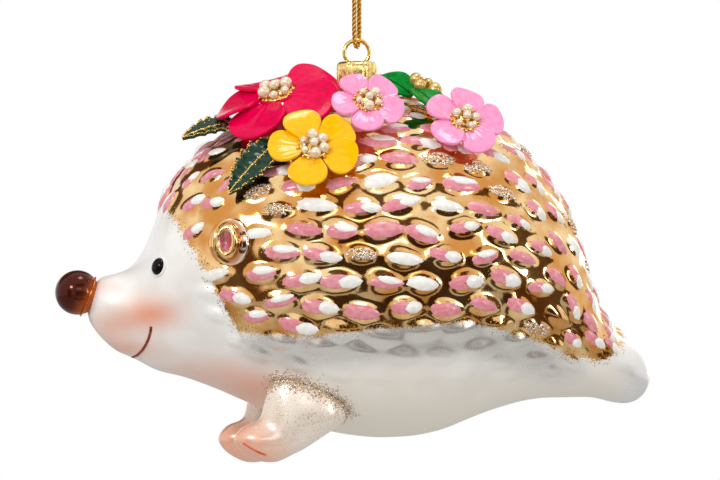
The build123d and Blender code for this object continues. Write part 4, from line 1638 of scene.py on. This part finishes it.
@dataclass
class Berries:
    """The cluster of gold berries with crystals between them."""

    places: tuple[tuple[float, float, float, float], ...] = (
        (13.0, -5.12, -29.12, 1.58), (17.03, -7.04, -31.58, 1.75), (13.52, -7.36, -30.5, 1.43),
        (15.86, -4.48, -30.2, 1.43),
    )
    middle: tuple[float, float, float] = (14.9, -6.0, -30.4)
    crystals: int = 26
    crystal_size: float = 0.9 * MM

    def build(self) -> None:
        """Make the berries."""
        shape = bmesh.new()
        for x, y, z, radius in self.places:
            bmesh.ops.create_uvsphere(shape, u_segments=28, v_segments=18, radius=radius * MM,
                                      matrix=Matrix.Translation(mm(x, y, z)))
        stand("berry_group", as_mesh(shape), GOLD_PEARL.material(), ["gold_berries"])
        chance = random.Random(5)
        places = []
        for _ in range(self.crystals):
            way = Vector([chance.uniform(-1, 1) for _ in range(3)]).normalized()
            places.append((mm(*self.middle) + way * chance.uniform(1.0, 1.9) * MM, way))
        sprinkle("berry_crystals", places, self.crystal_size, chance, GOLD_GLITTER)


@dataclass
class Hanger:
    """The stamped cap and its wire ring."""

    top: float = -25.2 * MM
    flat_top: float = 3.0 * MM
    panels: int = 8
    panel_turn: float = 0.68
    ring_top: float = -20.0 * MM
    ring_radius: float = 2.9 * MM
    half_mouth: float = 2.0 * MM
    leg_points: tuple[Pair, ...] = ((2.2, 9.5), (1.8, 0.9), (1.8, 0.4))
    wire_radius: float = 0.45 * MM
    wall: float = 0.3 * MM
    profile: tuple[Pair, ...] = (
        (0.0, 0.0), (2.4, 0.0), (3.7, -0.02), (4.35, -0.16), (4.72, -0.5), (4.85, -1.0), (4.85, -2.2), (4.85, -3.6),
        (4.85, -5.2), (4.85, -6.6), (4.95, -7.0),
    )

    def cap(self) -> None:
        """The cap: a spun cup, pressed into upright panels."""
        shape = spun([(radius * MM, self.top + drop * MM) for radius, drop in self.profile], 128)
        pitch = math.tau / self.panels
        for vert in shape.verts:
            if vert.co.xy.length < self.flat_top:
                continue
            turn = math.atan2(vert.co.y, vert.co.x) / pitch + self.panel_turn
            off = abs(turn - round(turn)) * pitch
            groove = math.exp(-((off / 0.06) ** 2))
            flat = 1.0 - math.cos(pitch / 2) / math.cos(pitch / 2 - off)
            vert.co.xy *= 0.96 - 0.09 * groove - 0.8 * flat
        bmesh.ops.recalc_face_normals(shape, faces=shape.faces)
        bmesh.ops.solidify(shape, geom=list(shape.faces), thickness=self.wall)
        shader = Shader("stamped_gold")
        spot, _ = shader.flakes(0.9 * MM)
        fine = shader.noise(0.4 * MM, 4.0)
        scroll = spot.step(0.12, 0.34) * (1 - spot.step(0.42, 0.6))
        color = shader.mix(scroll * 0.6, srgb(252, 224, 150), srgb(204, 146, 56))
        shader.set(Base_Color=color, Metallic=1.0, Roughness=0.16 + 0.1 * fine)
        shader.bump(1 - scroll, 0.02 * MM, 0.2)
        stand("cap_shell", as_mesh(shape), shader.material, ["hanger_cap"], Body.HANGER)

    def ring(self) -> None:
        """The wire ring with its two legs through the cap."""
        middle = self.ring_top - self.ring_radius
        mouth = math.asin(self.half_mouth / self.ring_radius)
        turns = [mouth - math.pi / 2 + (math.tau - 2 * mouth) * step / 60 for step in range(61)]
        loop = [Vector((self.ring_radius * math.cos(t), 0, middle + self.ring_radius * math.sin(t))) for t in turns]
        low = middle - self.ring_radius * math.cos(mouth)
        right = [mm(aside, 0, 0) + Vector((0, 0, low - drop * MM)) for aside, drop in self.leg_points]
        left = [Vector((-point.x, 0, point.z)) for point in reversed(right)]
        mesh = tubes([right + loop + left], self.wire_radius)
        stand("ring_wire", mesh, RING_GOLD.material(), ["hanger_wire"], Body.HANGER)

    def build(self) -> None:
        """Make the cap and the ring."""
        self.cap()
        self.ring()


@dataclass
class Cord:
    """The braided cord, its bight under the ring and its knot."""

    diameter: float = 1.15 * MM
    strands: int = 3
    lay: float = 3.2 * MM
    strand_reach: float = 0.3 * MM
    strand_radius: float = 0.27 * MM
    braid_step: float = 0.16 * MM
    knot_radius: float = 1.72 * MM
    knot_strand: float = 0.36 * MM
    wrap_start: float = 0.75 * MM
    wrap_pitch: float = 1.5 * MM
    knot_tail: tuple[Pair, ...] = ((1.0, 0.2), (1.05, 3.6), (1.6, 6.4), (2.5, 9.2))
    turn: float = 56.0
    route: tuple[Pair, ...] = (
        (-1.275, 0.0), (-1.275, -13.1), (-1.275, -21.53), (1.275, -21.53), (1.275, -13.1), (1.275, 0.0),
    )

    def centreline(self) -> list[Vector]:
        """Points along the smooth spline of the route.

        Returns:
            The points in turn.
        """
        across = polar(1.0, math.radians(self.turn))
        curve = bpy.data.curves.new("route", "CURVE")
        curve.dimensions = "3D"
        curve.resolution_u = 48
        spline = curve.splines.new("NURBS")
        spline.points.add(len(self.route) - 1)
        for point, (off, z) in zip(spline.points, self.route):
            point.co = (*(across * off * MM + mm(0, 0, z)), 1.0)
        spline.order_u = 3
        spline.use_endpoint_u = True
        return [vert.co.copy() for vert in settled(curve).vertices]

    def braid(self, points: list[Vector], radius: float) -> list[list[Vector]]:
        """Strands wound round a line.

        Args:
            points: The line.
            radius: How far each strand's middle lies from it.

        Returns:
            The points of each strand.
        """
        lines: list[list[Vector]] = [[] for _ in range(self.strands)]
        side = (points[1] - points[0]).orthogonal().normalized()
        run = 0.0
        for index in range(len(points) - 1):
            step = points[index + 1] - points[index]
            way = step.normalized()
            side = (side - way * side.dot(way)).normalized()
            other = way.cross(side)
            parts = max(1, round(step.length / self.braid_step))
            for part in range(parts):
                here = points[index] + step * part / parts
                turn = math.tau * (run + step.length * part / parts) / self.lay
                for strand, line in enumerate(lines):
                    angle = turn + math.tau * strand / self.strands
                    line.append(here + radius * (side * math.cos(angle) + other * math.sin(angle)))
            run += step.length
        return lines

    def knot(self) -> bpy.types.Object:
        """The knot: two wraps round the strands and two cut tails.

        Returns:
            The new object.
        """
        turns = [math.tau * step / 48 for step in range(97)]
        wraps = [polar(self.knot_radius, turn, self.wrap_start + turn / math.tau * self.wrap_pitch) for turn in turns]
        lines = self.braid(wraps, self.strand_reach)
        for side in SIDES:
            tail = [Vector((side * aside * MM, 0, z * MM)) for aside, z in self.knot_tail]
            lines += self.braid(tail, self.strand_radius)
        mesh = tubes(lines, self.knot_strand)
        return stand("knot_wraps", mesh, THREAD.material(), ["cord_knot"], Body.CORD)

    def build(self) -> None:
        points = self.centreline()
        mesh = tubes(self.braid(points, self.strand_reach), self.strand_radius)
        cord = stand("cord_braid", mesh, THREAD.material(), ["hanging_cord"], Body.CORD)
        knot = self.knot()


@dataclass
class Studio:
    """Camera, lamps, floor and backdrop."""

    distance: float = 0.9
    frame_width: float = 720 / 4.35 * MM
    turn: float = -8.0
    middle: Pair = (0.74, -65.9)
    floor_z: float = -0.95
    aim_z: float = -68.0

    def camera(self) -> None:
        """A long lens at the photograph's angle."""
        angle = math.radians(self.turn)
        right = Vector((math.cos(angle), math.sin(angle), 0))
        back = Vector((math.sin(angle), -math.cos(angle), 0))
        data = bpy.data.cameras.new("camera")
        data.sensor_width = SENSOR
        data.lens = self.distance * SENSOR / self.frame_width
        camera = place_object("camera", data)
        camera.location = right * self.middle[0] * MM + mm(0, 0, self.middle[1]) + back * self.distance
        camera.rotation_mode = "QUATERNION"
        camera.rotation_quaternion = (-back).to_track_quat("-Z", "Y")
        bpy.context.scene.camera = camera

    def lamp(self, name: str, place: tuple[float, float, float], size: Pair, watts: float) -> None:
        """One soft box that faces the ornament.

        Args:
            name: The lamp's name.
            place: Where it stands, in metres.
            size: Its width and height.
            watts: Its power.
        """
        data = bpy.data.lights.new(name, "AREA")
        data.shape = "RECTANGLE"
        data.size, data.size_y = size
        data.energy = watts
        lamp = place_object(name, data)
        lamp.location = place
        lamp.rotation_mode = "QUATERNION"
        lamp.rotation_quaternion = (mm(0, 0, self.aim_z) - Vector(place)).to_track_quat("-Z", "Y")

    def card(self, name: str, size: Pair, matrix: Matrix, color: tuple[float, ...]) -> bpy.types.Object:
        """A flat card of the studio.

        Args:
            name: The card's name.
            size: Its width and height.
            matrix: Where it stands.
            color: Its paint.

        Returns:
            The card.
        """
        shape = bmesh.new()
        bmesh.ops.create_grid(shape, x_segments=1, y_segments=1, size=0.5,
                              matrix=matrix @ Matrix.Diagonal((*size, 1, 1)))
        shader = Shader(f"{name}_paint")
        shader.set(Base_Color=color, Roughness=0.9)
        mesh = as_mesh(shape, False)
        mesh.materials.append(shader.material)
        card = place_object(name, mesh)
        return card

    def world(self) -> None:
        """White where it is seen or mirrored, and soft light elsewhere."""
        world = bpy.data.worlds.new("studio_air")
        bpy.context.scene.world = world
        world.use_nodes = True
        tree = world.node_tree
        paths = tree.nodes.new("ShaderNodeLightPath")
        seen = paths.outputs["Is Camera Ray"]
        for key in ("Is Glossy Ray", "Is Transmission Ray"):
            either = tree.nodes.new("ShaderNodeMath")
            either.operation = "MAXIMUM"
            tree.links.new(seen, either.inputs[0])
            tree.links.new(paths.outputs[key], either.inputs[1])
            seen = either.outputs[0]
        strength = tree.nodes.new("ShaderNodeMapRange")
        tree.links.new(seen, strength.inputs["Value"])
        strength.inputs["To Min"].default_value = 0.56
        strength.inputs["To Max"].default_value = 1.0
        air = tree.nodes["Background"]
        air.inputs["Color"].default_value = (1, 1, 1, 1)
        tree.links.new(strength.outputs["Result"], air.inputs["Strength"])

    def build(self) -> None:
        """Set up the studio."""
        self.camera()
        self.card("floor", (8, 8), Matrix.Translation((0, 0, self.floor_z)), (0.86, 0.86, 0.85, 1))
        upright = Matrix.Rotation(math.radians(90), 4, "X")
        flags = (
            ("front_flag", (1.5, 0.66), (0.3, -1.35, -0.22), (0.06, 0.03, 0.012, 1)),
            ("left_flag", (0.5, 0.9), (-0.95, -0.85, -0.2), (0.16, 0.09, 0.04, 1)),
            ("upper_flag", (1.2, 0.42), (0.2, -0.95, 0.78), (0.2, 0.11, 0.045, 1)),
            ("right_flag", (0.5, 1.1), (1.05, -0.55, -0.05), (0.13, 0.07, 0.03, 1)),
            ("low_flag", (1.6, 0.5), (0.2, -0.95, -0.84), (0.1, 0.054, 0.022, 1)),
            ("back_flag", (1.3, 0.8), (-0.2, 0.7, 0.6), (0.14, 0.08, 0.045, 1)),
        )
        for name, size, place, color in flags:
            turn = Matrix.Rotation(math.atan2(place[0], -place[1]), 4, "Z")
            flag = self.card(name, size, Matrix.Translation(place) @ turn @ upright, color)
            flag.visible_camera = False
            flag.visible_diffuse = False
            flag.visible_shadow = False
        lamps = (
            ("key", (-0.55, -0.62, 0.34), (0.17, 0.17), 2.8),
            ("fill", (0.62, -0.55, 0.05), (0.08, 0.3), 1.0),
            ("front", (0.05, -1.2, 0.36), (0.5, 0.16), 0.9),
            ("top", (0.1, -0.1, 0.75), (0.24, 0.2), 1.6),
            ("rim", (0.55, 0.6, 0.1), (0.3, 0.5), 1.0),
        )
        for lamp in lamps:
            self.lamp(*lamp)
        bpy.context.scene.view_settings.view_transform = "Standard"
        self.world()


FLOWERS = (
    Flower("magenta", 29.0 * MM, 2.7 * MM, 6, (-53, 12, 90, 156, 225), -18.0, 27.0, (-19.5, -9.6, -33.28), MAGENTA,
           "magenta_enamel", (-7.0, -6.0, -8.0, -5.0, -7.0), 0.64),
    Flower("yellow", 20.4 * MM, 2.4 * MM, 6, (27, 103, 172, 250, 330), -4.0, 58.0, (-13.26, -25.22, -45.52), YELLOW,
           "yellow_enamel"),
    Flower("front_pink", 16.8 * MM, 2.2 * MM, 5, (54, 126, 198, 270, 342), 4.0, 52.0, (-0.26, -19.2, -35.12), PINK,
           "pink_enamel"),
    Flower("rear_pink", 18.6 * MM, 2.3 * MM, 5, (18, 90, 162, 234, 306), 8.0, 52.0, (21.84, -18.56, -39.28), PINK,
           "pink_enamel"),
)
LEAVES = (
    Leaf("upper_leaf", "upper_serrated_leaf", 8.0 * MM, -22.0, (-26.2, -4.6, -39.4), (-41.21, -9.41, -43.06), 6, 0.18,
         DARK_GREEN, "dark_leaf"),
    Leaf("lower_leaf", "lower_serrated_leaf", 8.6 * MM, -40.0, (-19.5, -18.69, -43.13), (-32.24, -23.81, -55.76), 6,
         0.18, DARK_GREEN, "dark_leaf"),
    Leaf("long_green", "long_leaf", 6.0 * MM, -50.0, (12.2, -4.9, -33.0), (5.0, -2.4, -28.2), 0, 0.6),
    Leaf("broad_green", "broad_leaf", 8.6 * MM, 0.0, (12.2, -7.6, -31.6), (16.7, -15.9, -37.6), 0, 0.3),
    Leaf("back_green", "back_leaf", 6.0 * MM, -25.0, (3.64, 4.16, -32.51), (11.7, 9.6, -31.89)),
)


def main() -> None:
    """Build the ornament piece by piece, then the studio."""
    logging.basicConfig(level=logging.INFO)
    Studio().build()
    Cord().build()
    body = BlownBody()
    body.build()
    body.paint_quills()
    Face(body).build()
    Legs(body).build()
    for flower in FLOWERS:
        flower.build()
    for leaf in LEAVES:
        leaf.build()
    Berries().build()
    Hanger().build()
    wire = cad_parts["garland_wire"]
    wire.data.materials.clear()
    wire.data.materials.append(GOLD.material())


if __name__ == "__main__":
    main()
